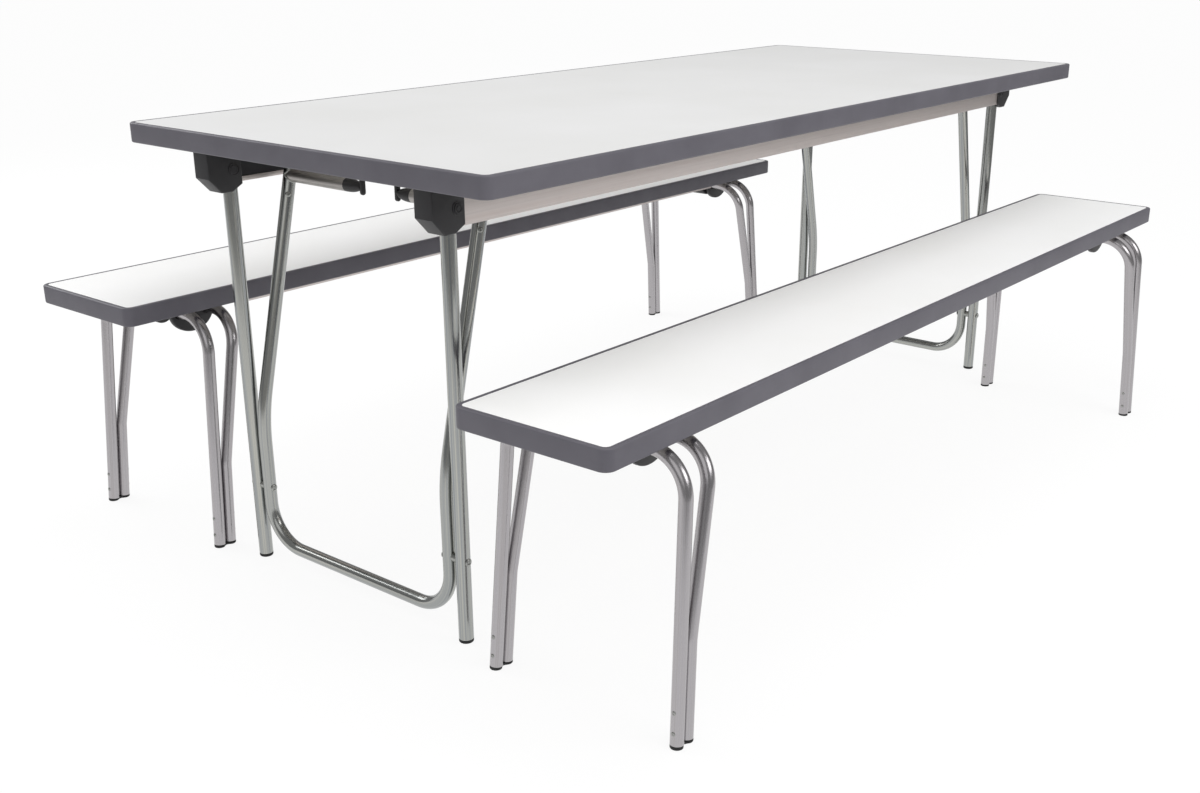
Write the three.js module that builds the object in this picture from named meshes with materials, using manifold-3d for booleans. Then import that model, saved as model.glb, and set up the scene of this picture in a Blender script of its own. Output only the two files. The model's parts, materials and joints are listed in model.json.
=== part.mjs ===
// Folding school table with two free-standing folding benches.
// Millimetres, +Z up. X runs along the table with its near end at -X, Y runs across it
// with the left bench at +Y, and the origin lies on the floor under the middle of the set.
import * as THREE from "three";
import { mergeVertices } from "three/addons/utils/BufferGeometryUtils.js";
import Module from "manifold-3d";

const wasm = await Module();
wasm.setup();

// Overall sizes and layout
const TABLE_LENGTH = 1830;
const TABLE_WIDTH = 760;
const TABLE_HEIGHT = 710;
const BENCH_LENGTH = 1830;
const BENCH_WIDTH = 254;
const BENCH_HEIGHT = 430;
const BENCH_DISTANCE = 483; // from the middle of the table to the middle of a bench
const BENCH_LAG = 53; // how far the benches stand back towards the near end

// Clearances
const FIT = 0.3; // between pieces that are fastened together
const PLAY = 0.4; // between a pin and its hole
const RUNNING_GAP = 0.8; // between pieces that move past each other

// Boards and their edge trim
const BOARD_THICKNESS = 25; // between the trim's lips
const TRIM_WALL = 3;
const TRIM_LIP_WIDTH = 5;
const TRIM_LIP_THICKNESS = 2.3;
const TRIM_CORNER_RADIUS = 16;
const TRIM_EDGE_ROUND = 2;

// Table legs
const LEG_DIAMETER = 22.2;
const LEG_WALL = 1.5;
const LEG_INSET = 73; // leg axis from the end of the table top
const LEG_OFFSET = 235; // leg axis from the middle of the table
const LEG_ABOVE_PIVOT = 11;
const FOOT_HEIGHT = 6;
const FOOT_ROUND = 2;
const FOOT_SPIGOT = 16;

// Corner brackets and pivot pins
const PIVOT_DROP = 37; // pivot axis below the board
const BRACKET_DEPTH = 70;
const BRACKET_OUTBOARD = 45.6; // from the leg axis
const BRACKET_INBOARD = 14.3;
const BRACKET_END_DEPTH = 47; // where the outboard chamfer starts
const BRACKET_BOTTOM_START = 23.6;
const BRACKET_BOTTOM_END = 3.9;
const BRACKET_NOSE_DEPTH = 60;
const BRACKET_CORNER_RADIUS = 10;
const BRACKET_INNER_CHEEK = 2.8;
const BRACKET_SKIN = 1.8; // in front of the rail
const PIN_DIAMETER = 9;
const PIN_HEAD_DIAMETER = 14;
const PIN_OUTER_HEAD = 2.4;
const PIN_INNER_HEAD = 1.7;

// Rails under the table top
const RAIL_DEPTH = 62;
const RAIL_WEB = 2;
const RAIL_FLANGE_WIDTH = 30;
const RAIL_FLANGE_THICKNESS = 2.2;
const RAIL_BEAD_HEIGHT = 7;
const RAIL_BEAD_THICKNESS = 3.6;
const RAIL_TUCK = 8; // how far a rail runs in behind the bracket's skin

// U-shaped braces
const BRACE_DIAMETER = 20.5;
const BRACE_WALL = 1.5;
const BRACE_SPACING = 27.5; // brace axis inside the leg axis
const BRACE_BAR_HEIGHT = 36;
const BRACE_BEND_RADIUS = 68;
const BRACE_CREASE_HEIGHT = 253;
const BRACE_CREASE_RADIUS = 350;
const BRACE_TOP_DROP = 19; // stub axis below the leg pivot
const BRACE_TOP_INBOARD = 92; // stub axis from the leg axis
const STUB_END = 72; // inner end of a stub from the middle of the table
const RIVET_HEIGHT = 131;
const RIVET_DIAMETER = 7;
const RIVET_HEAD_DIAMETER = 12;
const RIVET_HEAD = 1.9;
const SPACER_DIAMETER = 13;

// Release tabs and their plugs
const PLUG_LENGTH = 30.5;
const PLUG_ROUND = 2;
const PLUG_SPIGOT = 18;
const ROD_DIAMETER = 8;
const TAB_INNER = 35; // from the middle of the table
const TAB_THICKNESS = 6;
const TAB_WIDTH = 9;
const TAB_ABOVE = 7;
const TAB_BELOW = 12;
const TAB_ROUND = 3;

// Bench legs
const BENCH_TUBE_DIAMETER = 19;
const BENCH_TUBE_WALL = 1.5;
const BENCH_FOOT_INSET = 97; // outer foot from the end of the seat
const BENCH_FOOT_Y = 160;
const BENCH_TUBE_SPACING = 20.3; // between the outer and the inner tube at the floor
const BENCH_LEG_LEAN = 0.078; // inboard run for each unit of height
const BENCH_LEG_SPLAY = 0.032; // sideways run for each unit of height
const BENCH_CREASE_HEIGHT = 142;
const BENCH_CREASE_RADIUS = 80;
const BENCH_BAR_SPACING = 52.5; // between the two bars under the seat
const BENCH_BAR_DROP = 14; // bar axis below the board
const BENCH_BEND_RADIUS = 57;
const SHOE_HEIGHT = 5;
const SHOE_SPIGOT = 18;

// Bench brackets and channel
const SEAT_BRACKET_WIDTH = 120;
const SEAT_BRACKET_OUTBOARD = 14; // past the axis of the outer bar
const SEAT_BRACKET_LOBE = 26; // radius round the inner bar
const SEAT_BRACKET_LOBE_END = 36; // degrees below the bars where the lobe's round ends
const SEAT_BRACKET_WALL_ANGLE = 16; // degrees below the bars where the outer bar's path starts
const CHANNEL_WIDTH = 216;
const CHANNEL_DEPTH = 11;
const CHANNEL_WALL = 1.8;
const CHANNEL_END_GAP = 28; // short of the brackets

// Facets
const TUBE_SIDES = 12;
const BORE_SIDES = 6;
const ROUND_SIDES = 12;
const HOLE_SIDES = 10;
const BEND_STEPS = 4;
const CREASE_STEPS = 2;
const CORNER_STEPS = 3;
const EDGE_STEPS = 2;
const WELD_TOLERANCE = 1e-4;

// Worked out from the sizes above
const legRadius = LEG_DIAMETER / 2;
const braceRadius = BRACE_DIAMETER / 2;
const benchTubeRadius = BENCH_TUBE_DIAMETER / 2;
const trimHeight = BOARD_THICKNESS + 2 * (FIT + TRIM_LIP_THICKNESS);
const tableUnderside = TABLE_HEIGHT - TRIM_LIP_THICKNESS - FIT - BOARD_THICKNESS;
const seatUnderside = BENCH_HEIGHT - TRIM_LIP_THICKNESS - FIT - BOARD_THICKNESS;
const legX = TABLE_LENGTH / 2 - LEG_INSET;
const pivotHeight = tableUnderside - PIVOT_DROP;
const braceY = LEG_OFFSET - BRACE_SPACING;
const stubX = legX - BRACE_TOP_INBOARD;
const stubHeight = pivotHeight - BRACE_TOP_DROP;
const braceBoreRadius = braceRadius - BRACE_WALL;
const beadY = LEG_OFFSET + legRadius + FIT + RIVET_HEAD + RUNNING_GAP;
const railOuterY = beadY + RAIL_BEAD_THICKNESS;
const bracketOuterY = railOuterY + FIT + BRACKET_SKIN;
const slotHalfWidth = legRadius + PLAY;
const bracketInnerY = LEG_OFFSET - slotHalfWidth - BRACKET_INNER_CHEEK;
const benchFootX = BENCH_LENGTH / 2 - BENCH_FOOT_INSET;
const barHeight = seatUnderside - BENCH_BAR_DROP;
const outerBarX = benchFootX - BENCH_LEG_LEAN * barHeight;
const innerBarX = outerBarX - BENCH_BAR_SPACING;
const barY = BENCH_FOOT_Y - BENCH_LEG_SPLAY * barHeight;

// Materials
function finish(color, roughness, metalness) {
  return new THREE.MeshStandardMaterial({ color, roughness, metalness });
}
const laminate = finish(0xf0f0f0, 0.35, 0);
const trimPlastic = finish(0x625f68, 0.45, 0);
const aluminium = finish(0xb6afac, 0.35, 1);
const blackPlastic = finish(0x2c2b2e, 0.5, 0);
const zincSteel = finish(0xb4b8b0, 0.3, 1);
const satinTube = finish(0xb9b6b6, 0.38, 1);

// Meshes and solids
function outward(geometry) {
  const position = geometry.getAttribute("position");
  const index = geometry.getIndex();
  const corner = (k) => new THREE.Vector3().fromBufferAttribute(position, index.getX(k));
  let volume = 0;
  for (let k = 0; k < index.count; k += 3) {
    volume += corner(k).dot(corner(k + 1).cross(corner(k + 2)));
  }
  if (volume < 0) {
    for (let k = 0; k < index.count; k += 3) {
      const swap = index.getX(k);
      index.setX(k, index.getX(k + 1));
      index.setX(k + 1, swap);
    }
  }
  return geometry;
}

function welded(geometry) {
  const bare = geometry.clone();
  bare.deleteAttribute("normal");
  bare.deleteAttribute("uv");
  const merged = mergeVertices(bare, WELD_TOLERANCE);
  const position = merged.getAttribute("position");
  const from = merged.getIndex();
  const kept = [];
  for (let k = 0; k < from.count; k += 3) {
    const [a, b, c] = [from.getX(k), from.getX(k + 1), from.getX(k + 2)];
    if (a !== b && b !== c && c !== a) kept.push(a, b, c);
  }
  const clean = new THREE.BufferGeometry();
  clean.setAttribute("position", position);
  clean.setIndex(kept);
  return outward(clean);
}

function solid(geometry) {
  const shape = welded(geometry);
  return new wasm.Manifold(new wasm.Mesh({
    numProp: 3,
    vertProperties: new Float32Array(shape.getAttribute("position").array),
    triVerts: new Uint32Array(shape.getIndex().array),
  }));
}

function geometryOf(manifold) {
  const mesh = manifold.getMesh();
  const geometry = new THREE.BufferGeometry();
  geometry.setAttribute("position", new THREE.BufferAttribute(mesh.vertProperties, mesh.numProp));
  geometry.setIndex(new THREE.BufferAttribute(mesh.triVerts, 1));
  return geometry;
}

function piece(parent, name, geometry, material) {
  const mesh = new THREE.Mesh(welded(geometry), material);
  mesh.name = name;
  mesh.geometry.computeVertexNormals();
  parent.add(mesh);
}

// Mirrors a right-hand or left-hand piece: side is +1 on the +Y side and -1 on the -Y side.
function onSide(geometry, side) {
  return welded(geometry.clone().scale(1, side, 1));
}

// Basic forms
function ringPoints(radius, sides) {
  const points = [];
  for (let k = 0; k < sides; k += 1) {
    const angle = Math.PI / 2 + ((k + 0.5) / sides) * 2 * Math.PI;
    points.push(new THREE.Vector2(radius * Math.cos(angle), radius * Math.sin(angle)));
  }
  return points;
}

function holeRadius(radius, clearance, sides = HOLE_SIDES) {
  return (radius + clearance) / Math.cos(Math.PI / sides);
}

function tubeSection(radius, wall) {
  const section = new THREE.Shape(ringPoints(radius, TUBE_SIDES));
  section.holes.push(new THREE.Path(ringPoints(radius - wall, BORE_SIDES)));
  return section;
}

function box(x0, x1, y0, y1, z0, z1) {
  return new THREE.BoxGeometry(x1 - x0, y1 - y0, z1 - z0)
    .translate((x0 + x1) / 2, (y0 + y1) / 2, (z0 + z1) / 2);
}

function cylinderAlongY(radius, x, z, y0, y1, sides = ROUND_SIDES) {
  return new THREE.CylinderGeometry(radius, radius, y1 - y0, sides)
    .translate(x, (y0 + y1) / 2, z);
}

function holeAlongY(radius, x, z, y0, y1) {
  return cylinderAlongY(holeRadius(radius, PLAY), x, z, y0, y1, HOLE_SIDES);
}

// A turned piece along Y from [radius, y] corners; the ends on the axis are added.
function turnedAlongY(corners, x, z) {
  const profile = corners.map(([radius, y]) => new THREE.Vector2(radius, y));
  profile.unshift(new THREE.Vector2(0, corners[0][1]));
  profile.push(new THREE.Vector2(0, corners[corners.length - 1][1]));
  return new THREE.LatheGeometry(profile, ROUND_SIDES).translate(x, 0, z);
}

// An outline in Y and Z, run along X.
function alongX(points, x0, x1) {
  const outline = new THREE.Shape(points.map(([y, z]) => new THREE.Vector2(y, z)));
  const basis = new THREE.Matrix4().makeBasis(
    new THREE.Vector3(0, 1, 0), new THREE.Vector3(0, 0, 1), new THREE.Vector3(1, 0, 0));
  return new THREE.ExtrudeGeometry(outline, { depth: x1 - x0, bevelEnabled: false })
    .applyMatrix4(basis).translate(x0, 0, 0);
}

// An outline in X and Z, run along Y.
function alongY(outline, y0, y1) {
  const basis = new THREE.Matrix4().makeBasis(
    new THREE.Vector3(1, 0, 0), new THREE.Vector3(0, 0, 1), new THREE.Vector3(0, -1, 0));
  return new THREE.ExtrudeGeometry(outline, {
    depth: y1 - y0, bevelEnabled: false, curveSegments: CORNER_STEPS,
  }).applyMatrix4(basis).translate(0, y1, 0);
}

// The middle line of a bent tube: straight runs between corners, each rounded to its own radius.
class BentPath extends THREE.Curve {
  constructor(corners, bends) {
    super();
    const direction = (k) => corners[k + 1].clone().sub(corners[k]).normalize();
    const last = corners.length - 1;
    this.stations = [{ point: corners[0], tangent: direction(0) }];
    for (let k = 1; k < last; k += 1) {
      const into = direction(k - 1);
      const out = direction(k);
      const turn = into.angleTo(out);
      const { radius, steps } = bends[k - 1];
      const start = corners[k].clone().addScaledVector(into, -radius * Math.tan(turn / 2));
      const inward = out.clone().addScaledVector(into, -into.dot(out)).normalize();
      for (let step = 0; step <= steps; step += 1) {
        const angle = (turn * step) / steps;
        const point = start.clone().addScaledVector(into, radius * Math.sin(angle))
          .addScaledVector(inward, radius * (1 - Math.cos(angle)));
        const tangent = into.clone().multiplyScalar(Math.cos(angle))
          .addScaledVector(inward, Math.sin(angle));
        this.stations.push({ point, tangent });
      }
    }
    this.stations.push({ point: corners[last], tangent: direction(last - 1) });
  }

  stationAt(u) {
    return this.stations[Math.round(u * (this.stations.length - 1))];
  }

  getPointAt(u, target = new THREE.Vector3()) {
    return target.copy(this.stationAt(u).point);
  }

  getTangentAt(u, target = new THREE.Vector3()) {
    return target.copy(this.stationAt(u).tangent);
  }
}

function swept(section, path) {
  return new THREE.ExtrudeGeometry(section, {
    extrudePath: path, steps: path.stations.length - 1, bevelEnabled: false,
  });
}

// Boards and edge trim
function roundedRectangle(length, width, radius) {
  const x = length / 2 - radius;
  const y = width / 2 - radius;
  const outline = new THREE.Shape();
  outline.absarc(x, y, radius, 0, Math.PI / 2);
  outline.absarc(-x, y, radius, Math.PI / 2, Math.PI);
  outline.absarc(-x, -y, radius, Math.PI, 1.5 * Math.PI);
  outline.absarc(x, -y, radius, 1.5 * Math.PI, 2 * Math.PI);
  return outline;
}

function slab(length, width, radius, z0, z1) {
  return new THREE.ExtrudeGeometry(roundedRectangle(length, width, radius), {
    depth: z1 - z0, bevelEnabled: false, curveSegments: CORNER_STEPS,
  }).translate(0, 0, z0);
}

// Board: its edge is rebated, so that its face lies flush with the lip of the trim
function board(length, width, top) {
  const coreInset = TRIM_WALL + FIT;
  const faceInset = TRIM_WALL + TRIM_LIP_WIDTH + FIT;
  const lip = TRIM_LIP_THICKNESS + FIT;
  const core = slab(length - 2 * coreInset, width - 2 * coreInset, TRIM_CORNER_RADIUS - coreInset,
    top - lip - BOARD_THICKNESS, top - lip);
  const face = slab(length - 2 * faceInset, width - 2 * faceInset, TRIM_CORNER_RADIUS - faceInset,
    top - BOARD_THICKNESS, top);
  return geometryOf(solid(core).add(solid(face)));
}

function edgeTrim(length, width, top) {
  const round = TRIM_EDGE_ROUND;
  const body = new THREE.ExtrudeGeometry(
    roundedRectangle(length - 2 * round, width - 2 * round, TRIM_CORNER_RADIUS - round), {
      depth: trimHeight - 2 * round, curveSegments: CORNER_STEPS,
      bevelThickness: round, bevelSize: round, bevelSegments: EDGE_STEPS,
    }).translate(0, 0, top - trimHeight + round);
  const groove = slab(length - 2 * TRIM_WALL, width - 2 * TRIM_WALL, TRIM_CORNER_RADIUS - TRIM_WALL,
    top - trimHeight + TRIM_LIP_THICKNESS, top - TRIM_LIP_THICKNESS);
  const inset = TRIM_WALL + TRIM_LIP_WIDTH;
  const window = slab(length - 2 * inset, width - 2 * inset, TRIM_CORNER_RADIUS - inset,
    top - 2 * trimHeight, top + trimHeight);
  return geometryOf(solid(body).subtract(solid(groove)).subtract(solid(window)));
}

// Rails: a web with a flange under the board and a bead along its foot
function railSection(clearance) {
  const top = tableUnderside - FIT;
  const outer = railOuterY + clearance;
  const web = railOuterY - RAIL_WEB - clearance;
  const bead = beadY - clearance;
  const flange = railOuterY - RAIL_FLANGE_WIDTH - clearance;
  const foot = top - RAIL_DEPTH - clearance;
  const beadTop = top - RAIL_DEPTH + RAIL_BEAD_HEIGHT + clearance;
  const flangeBottom = top - RAIL_FLANGE_THICKNESS - clearance;
  const roof = top + clearance;
  return [[outer, foot], [outer, roof], [flange, roof], [flange, flangeBottom],
    [web, flangeBottom], [web, beadTop], [bead, beadTop], [bead, foot]];
}

function railReach() {
  return legX - BRACKET_INBOARD + RAIL_TUCK;
}

// Corner bracket: a moulded fork that carries the leg's pivot pin and stops the leg upright
function bracketOutline() {
  const top = tableUnderside - FIT;
  const outboard = -legX - BRACKET_OUTBOARD;
  const inboard = -legX + BRACKET_INBOARD;
  const round = BRACKET_CORNER_RADIUS;
  const outline = new THREE.Shape();
  outline.moveTo(outboard, top);
  outline.lineTo(outboard, top - BRACKET_END_DEPTH);
  outline.lineTo(-legX - BRACKET_BOTTOM_START, top - BRACKET_DEPTH);
  outline.lineTo(-legX - BRACKET_BOTTOM_END, top - BRACKET_DEPTH);
  outline.lineTo(inboard, top - BRACKET_NOSE_DEPTH);
  outline.absarc(inboard - round, top - round, round, 0, Math.PI / 2);
  return outline;
}

function cornerBracket() {
  const swing = Math.hypot(legRadius, LEG_ABOVE_PIVOT) + RUNNING_GAP;
  const inboard = -legX + BRACKET_INBOARD + RAIL_TUCK;
  const slotY0 = LEG_OFFSET - slotHalfWidth;
  const slotY1 = LEG_OFFSET + slotHalfWidth;
  const below = tableUnderside - 2 * BRACKET_DEPTH;
  const slot = box(-legX - legRadius - FIT, inboard, slotY0, slotY1, below, pivotHeight + swing);
  const relief = box(-legX - swing, inboard, slotY0, slotY1,
    pivotHeight - LEG_ABOVE_PIVOT - RUNNING_GAP, pivotHeight + swing);
  const railEnd = alongX(railSection(FIT), -railReach() - FIT, -legX + 2 * BRACKET_INBOARD);
  const bore = holeAlongY(PIN_DIAMETER / 2, -legX, pivotHeight,
    bracketInnerY - BRACKET_INNER_CHEEK, bracketOuterY + BRACKET_SKIN);
  return geometryOf(solid(alongY(bracketOutline(), bracketInnerY, bracketOuterY))
    .subtract(solid(slot)).subtract(solid(relief)).subtract(solid(railEnd)).subtract(solid(bore)));
}

function pivotPin() {
  const head = PIN_HEAD_DIAMETER / 2;
  const shank = PIN_DIAMETER / 2;
  const inner = bracketInnerY - FIT;
  const outer = bracketOuterY + FIT;
  return turnedAlongY([
    [head, inner - PIN_INNER_HEAD], [head, inner], [shank, inner],
    [shank, outer], [head, outer], [head, outer + PIN_OUTER_HEAD],
  ], -legX, pivotHeight);
}

// Table leg, its foot and the rivet that holds the brace
function tableLeg() {
  const bottom = FOOT_HEIGHT + FIT;
  const tube = new THREE.ExtrudeGeometry(tubeSection(legRadius, LEG_WALL), {
    depth: pivotHeight + LEG_ABOVE_PIVOT - bottom, bevelEnabled: false,
  }).translate(-legX, LEG_OFFSET, bottom);
  const y0 = LEG_OFFSET - LEG_DIAMETER;
  const y1 = LEG_OFFSET + LEG_DIAMETER;
  const pinHole = holeAlongY(PIN_DIAMETER / 2, -legX, pivotHeight, y0, y1);
  const rivetHole = holeAlongY(RIVET_DIAMETER / 2, -legX, RIVET_HEIGHT, y0, y1);
  return geometryOf(solid(tube).subtract(solid(pinHole)).subtract(solid(rivetHole)));
}

function tableFoot() {
  const spigot = (legRadius - LEG_WALL) * Math.cos(Math.PI / BORE_SIDES) - FIT;
  const profile = [
    [legRadius - FOOT_ROUND, 0], [legRadius, FOOT_ROUND], [legRadius, FOOT_HEIGHT],
    [spigot, FOOT_HEIGHT], [spigot, FOOT_HEIGHT + FOOT_SPIGOT],
  ];
  return turnedAlongY(profile, 0, 0).rotateX(Math.PI / 2).translate(-legX, LEG_OFFSET, 0);
}

function braceRivet() {
  const head = RIVET_HEAD_DIAMETER / 2;
  const shank = RIVET_DIAMETER / 2;
  const spacer = SPACER_DIAMETER / 2;
  const braceInner = braceY - braceRadius - FIT;
  const braceOuter = braceY + braceRadius + FIT;
  const legInner = LEG_OFFSET - legRadius - FIT;
  const legOuter = LEG_OFFSET + legRadius + FIT;
  return turnedAlongY([
    [head, braceInner - RIVET_HEAD], [head, braceInner], [shank, braceInner],
    [shank, braceOuter], [spacer, braceOuter], [spacer, legInner], [shank, legInner],
    [shank, legOuter], [head, legOuter], [head, legOuter + RIVET_HEAD],
  ], -legX, RIVET_HEIGHT);
}

// U-shaped brace: one bent tube with a stub tube welded inwards at each top
function bracePath(extension) {
  const rise = new THREE.Vector3(BRACE_TOP_INBOARD, 0, stubHeight - BRACE_CREASE_HEIGHT).normalize();
  const top = (side) => new THREE.Vector3(-stubX, side * braceY, stubHeight)
    .addScaledVector(rise, braceRadius + extension);
  const crease = (side) => new THREE.Vector3(-legX, side * braceY, BRACE_CREASE_HEIGHT);
  const foot = (side) => new THREE.Vector3(-legX, side * braceY, BRACE_BAR_HEIGHT);
  const bend = { radius: BRACE_BEND_RADIUS, steps: BEND_STEPS };
  const fold = { radius: BRACE_CREASE_RADIUS, steps: CREASE_STEPS };
  return new BentPath(
    [top(1), crease(1), foot(1), foot(-1), crease(-1), top(-1)], [fold, bend, bend, fold]);
}

function brace() {
  const boreEnd = BRACE_DIAMETER;
  const tube = solid(swept(new THREE.Shape(ringPoints(braceRadius, TUBE_SIDES)), bracePath(0)));
  const tubeBore = swept(new THREE.Shape(ringPoints(braceBoreRadius, BORE_SIDES)), bracePath(boreEnd));
  let frame = tube;
  for (const side of [1, -1]) {
    frame = frame.add(solid(onSide(
      cylinderAlongY(braceRadius, -stubX, stubHeight, STUB_END, braceY + braceRadius), side)));
  }
  frame = frame.subtract(solid(tubeBore));
  for (const side of [1, -1]) {
    const stubBore = cylinderAlongY(braceBoreRadius, -stubX, stubHeight,
      STUB_END - BRACE_DIAMETER, braceY + BRACE_DIAMETER);
    const rivetHole = holeAlongY(RIVET_DIAMETER / 2, -legX, RIVET_HEIGHT,
      braceY - BRACE_DIAMETER, braceY + BRACE_DIAMETER);
    frame = frame.subtract(solid(onSide(stubBore, side))).subtract(solid(onSide(rivetHole, side)));
  }
  return geometryOf(frame);
}

// Plug in a stub's inner end, and the sprung rod with its finger tab that slides through it
function stubPlug() {
  const seat = STUB_END - FIT;
  const spigot = braceBoreRadius * Math.cos(Math.PI / ROUND_SIDES) - FIT;
  const plug = turnedAlongY([
    [braceRadius - PLUG_ROUND, seat - PLUG_LENGTH], [braceRadius, seat - PLUG_LENGTH + PLUG_ROUND],
    [braceRadius, seat], [spigot, seat], [spigot, seat + PLUG_SPIGOT],
  ], -stubX, stubHeight);
  const hole = holeAlongY(ROD_DIAMETER / 2, -stubX, stubHeight,
    seat - 2 * PLUG_LENGTH, seat + 2 * PLUG_SPIGOT);
  return geometryOf(solid(plug).subtract(solid(hole)));
}

function releaseTab() {
  const half = TAB_WIDTH / 2;
  const outline = new THREE.Shape();
  outline.moveTo(-half, TAB_ABOVE);
  outline.lineTo(-half, -TAB_BELOW + TAB_ROUND);
  outline.absarc(-half + TAB_ROUND, -TAB_BELOW + TAB_ROUND, TAB_ROUND, Math.PI, 1.5 * Math.PI);
  outline.absarc(half - TAB_ROUND, -TAB_BELOW + TAB_ROUND, TAB_ROUND, 1.5 * Math.PI, 2 * Math.PI);
  outline.lineTo(half, TAB_ABOVE);
  const tab = alongY(outline, TAB_INNER, TAB_INNER + TAB_THICKNESS).translate(-stubX, 0, stubHeight);
  const rod = cylinderAlongY(ROD_DIAMETER / 2, -stubX, stubHeight,
    TAB_INNER + TAB_THICKNESS / 2, braceY + braceBoreRadius);
  return geometryOf(solid(tab).add(solid(rod)));
}

// Bench leg frames: two inverted-U tubes that stand side by side on a twin shoe
function benchFoot(offset, side, height) {
  return new THREE.Vector3(
    -benchFootX + offset + BENCH_LEG_LEAN * height,
    side * (BENCH_FOOT_Y - BENCH_LEG_SPLAY * height), height);
}

function benchOuterFrame() {
  const corner = (side) => new THREE.Vector3(-outerBarX, side * barY, barHeight);
  const foot = (side) => benchFoot(0, side, SHOE_HEIGHT + FIT);
  const bend = { radius: BENCH_BEND_RADIUS, steps: BEND_STEPS };
  const path = new BentPath([foot(1), corner(1), corner(-1), foot(-1)], [bend, bend]);
  return swept(tubeSection(benchTubeRadius, BENCH_TUBE_WALL), path);
}

function benchInnerFrame() {
  const corner = (side) => new THREE.Vector3(-innerBarX, side * barY, barHeight);
  const crease = (side) => benchFoot(BENCH_TUBE_SPACING, side, BENCH_CREASE_HEIGHT);
  const foot = (side) => benchFoot(BENCH_TUBE_SPACING, side, SHOE_HEIGHT + FIT);
  const bend = { radius: BENCH_BEND_RADIUS, steps: BEND_STEPS };
  const fold = { radius: BENCH_CREASE_RADIUS, steps: CREASE_STEPS };
  const path = new BentPath(
    [foot(1), crease(1), corner(1), corner(-1), crease(-1), foot(-1)], [fold, bend, bend, fold]);
  return swept(tubeSection(benchTubeRadius, BENCH_TUBE_WALL), path);
}

// Shoe: a sole under both tubes, square to them on top and flat on the floor, with two spigots
function benchShoe() {
  const axis = new THREE.Vector3(BENCH_LEG_LEAN, -BENCH_LEG_SPLAY, 1).normalize();
  const turn = new THREE.Quaternion().setFromUnitVectors(new THREE.Vector3(0, 0, 1), axis);
  const reach = BENCH_TUBE_DIAMETER;
  const height = axis.z * SHOE_HEIGHT;
  const sole = new THREE.Shape();
  sole.absarc(BENCH_TUBE_SPACING, 0, benchTubeRadius, -Math.PI / 2, Math.PI / 2);
  sole.absarc(0, 0, benchTubeRadius, Math.PI / 2, 1.5 * Math.PI);
  const spigotRadius = (benchTubeRadius - BENCH_TUBE_WALL) * Math.cos(Math.PI / BORE_SIDES) - FIT;
  const place = (geometry) => solid(geometry.applyQuaternion(turn)
    .translate(-benchFootX, BENCH_FOOT_Y, 0));
  let shoe = place(new THREE.ExtrudeGeometry(sole, {
    depth: reach + height, bevelEnabled: false, curveSegments: CORNER_STEPS,
  }).translate(0, 0, -reach));
  for (const offset of [0, BENCH_TUBE_SPACING]) {
    const spigot = new THREE.CylinderGeometry(spigotRadius, spigotRadius, SHOE_SPIGOT + height, HOLE_SIDES)
      .rotateX(Math.PI / 2).translate(offset, 0, (SHOE_SPIGOT + height) / 2);
    shoe = shoe.add(place(spigot));
  }
  const floor = box(-2 * benchFootX, 0, 0, 2 * BENCH_FOOT_Y, -2 * reach, 0);
  return geometryOf(shoe.subtract(solid(floor)));
}

// Seat bracket: the inner bar turns in its lobe, and the outer bar lies in a half-round seat open below
function seatBracket() {
  const top = seatUnderside - FIT - barHeight;
  const bore = holeRadius(benchTubeRadius, PLAY, ROUND_SIDES);
  const outboard = BENCH_BAR_SPACING + SEAT_BRACKET_OUTBOARD;
  const lobeEnd = THREE.MathUtils.degToRad(SEAT_BRACKET_LOBE_END);
  const wallAngle = THREE.MathUtils.degToRad(SEAT_BRACKET_WALL_ANGLE);
  const outline = new THREE.Shape();
  outline.moveTo(-SEAT_BRACKET_LOBE, top);
  outline.lineTo(-SEAT_BRACKET_LOBE, 0);
  outline.absarc(0, 0, SEAT_BRACKET_LOBE, Math.PI, 2 * Math.PI - lobeEnd);
  outline.absarc(0, 0, BENCH_BAR_SPACING - bore, -wallAngle, 0);
  outline.absarc(BENCH_BAR_SPACING, 0, bore, Math.PI, 0, true);
  outline.lineTo(outboard, 0);
  outline.lineTo(outboard, top);
  outline.holes.push(new THREE.Path(ringPoints(bore, ROUND_SIDES)));
  return alongY(outline, -SEAT_BRACKET_WIDTH / 2, SEAT_BRACKET_WIDTH / 2).scale(-1, 1, 1)
    .translate(-innerBarX, 0, barHeight);
}

function seatChannel() {
  const top = seatUnderside - FIT;
  const half = CHANNEL_WIDTH / 2;
  const reach = innerBarX - SEAT_BRACKET_LOBE - CHANNEL_END_GAP;
  return alongX([
    [half, top], [-half, top], [-half, top - CHANNEL_DEPTH], [-half + CHANNEL_WALL, top - CHANNEL_DEPTH],
    [-half + CHANNEL_WALL, top - CHANNEL_WALL], [half - CHANNEL_WALL, top - CHANNEL_WALL],
    [half - CHANNEL_WALL, top - CHANNEL_DEPTH], [half, top - CHANNEL_DEPTH],
  ], -reach, reach);
}

// Assembly: the far end is the near end turned half round, so its sides change places
const ENDS = [
  { end: "near", turn: 0, sides: { left: 1, right: -1 } },
  { end: "far", turn: Math.PI, sides: { left: -1, right: 1 } },
];

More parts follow.
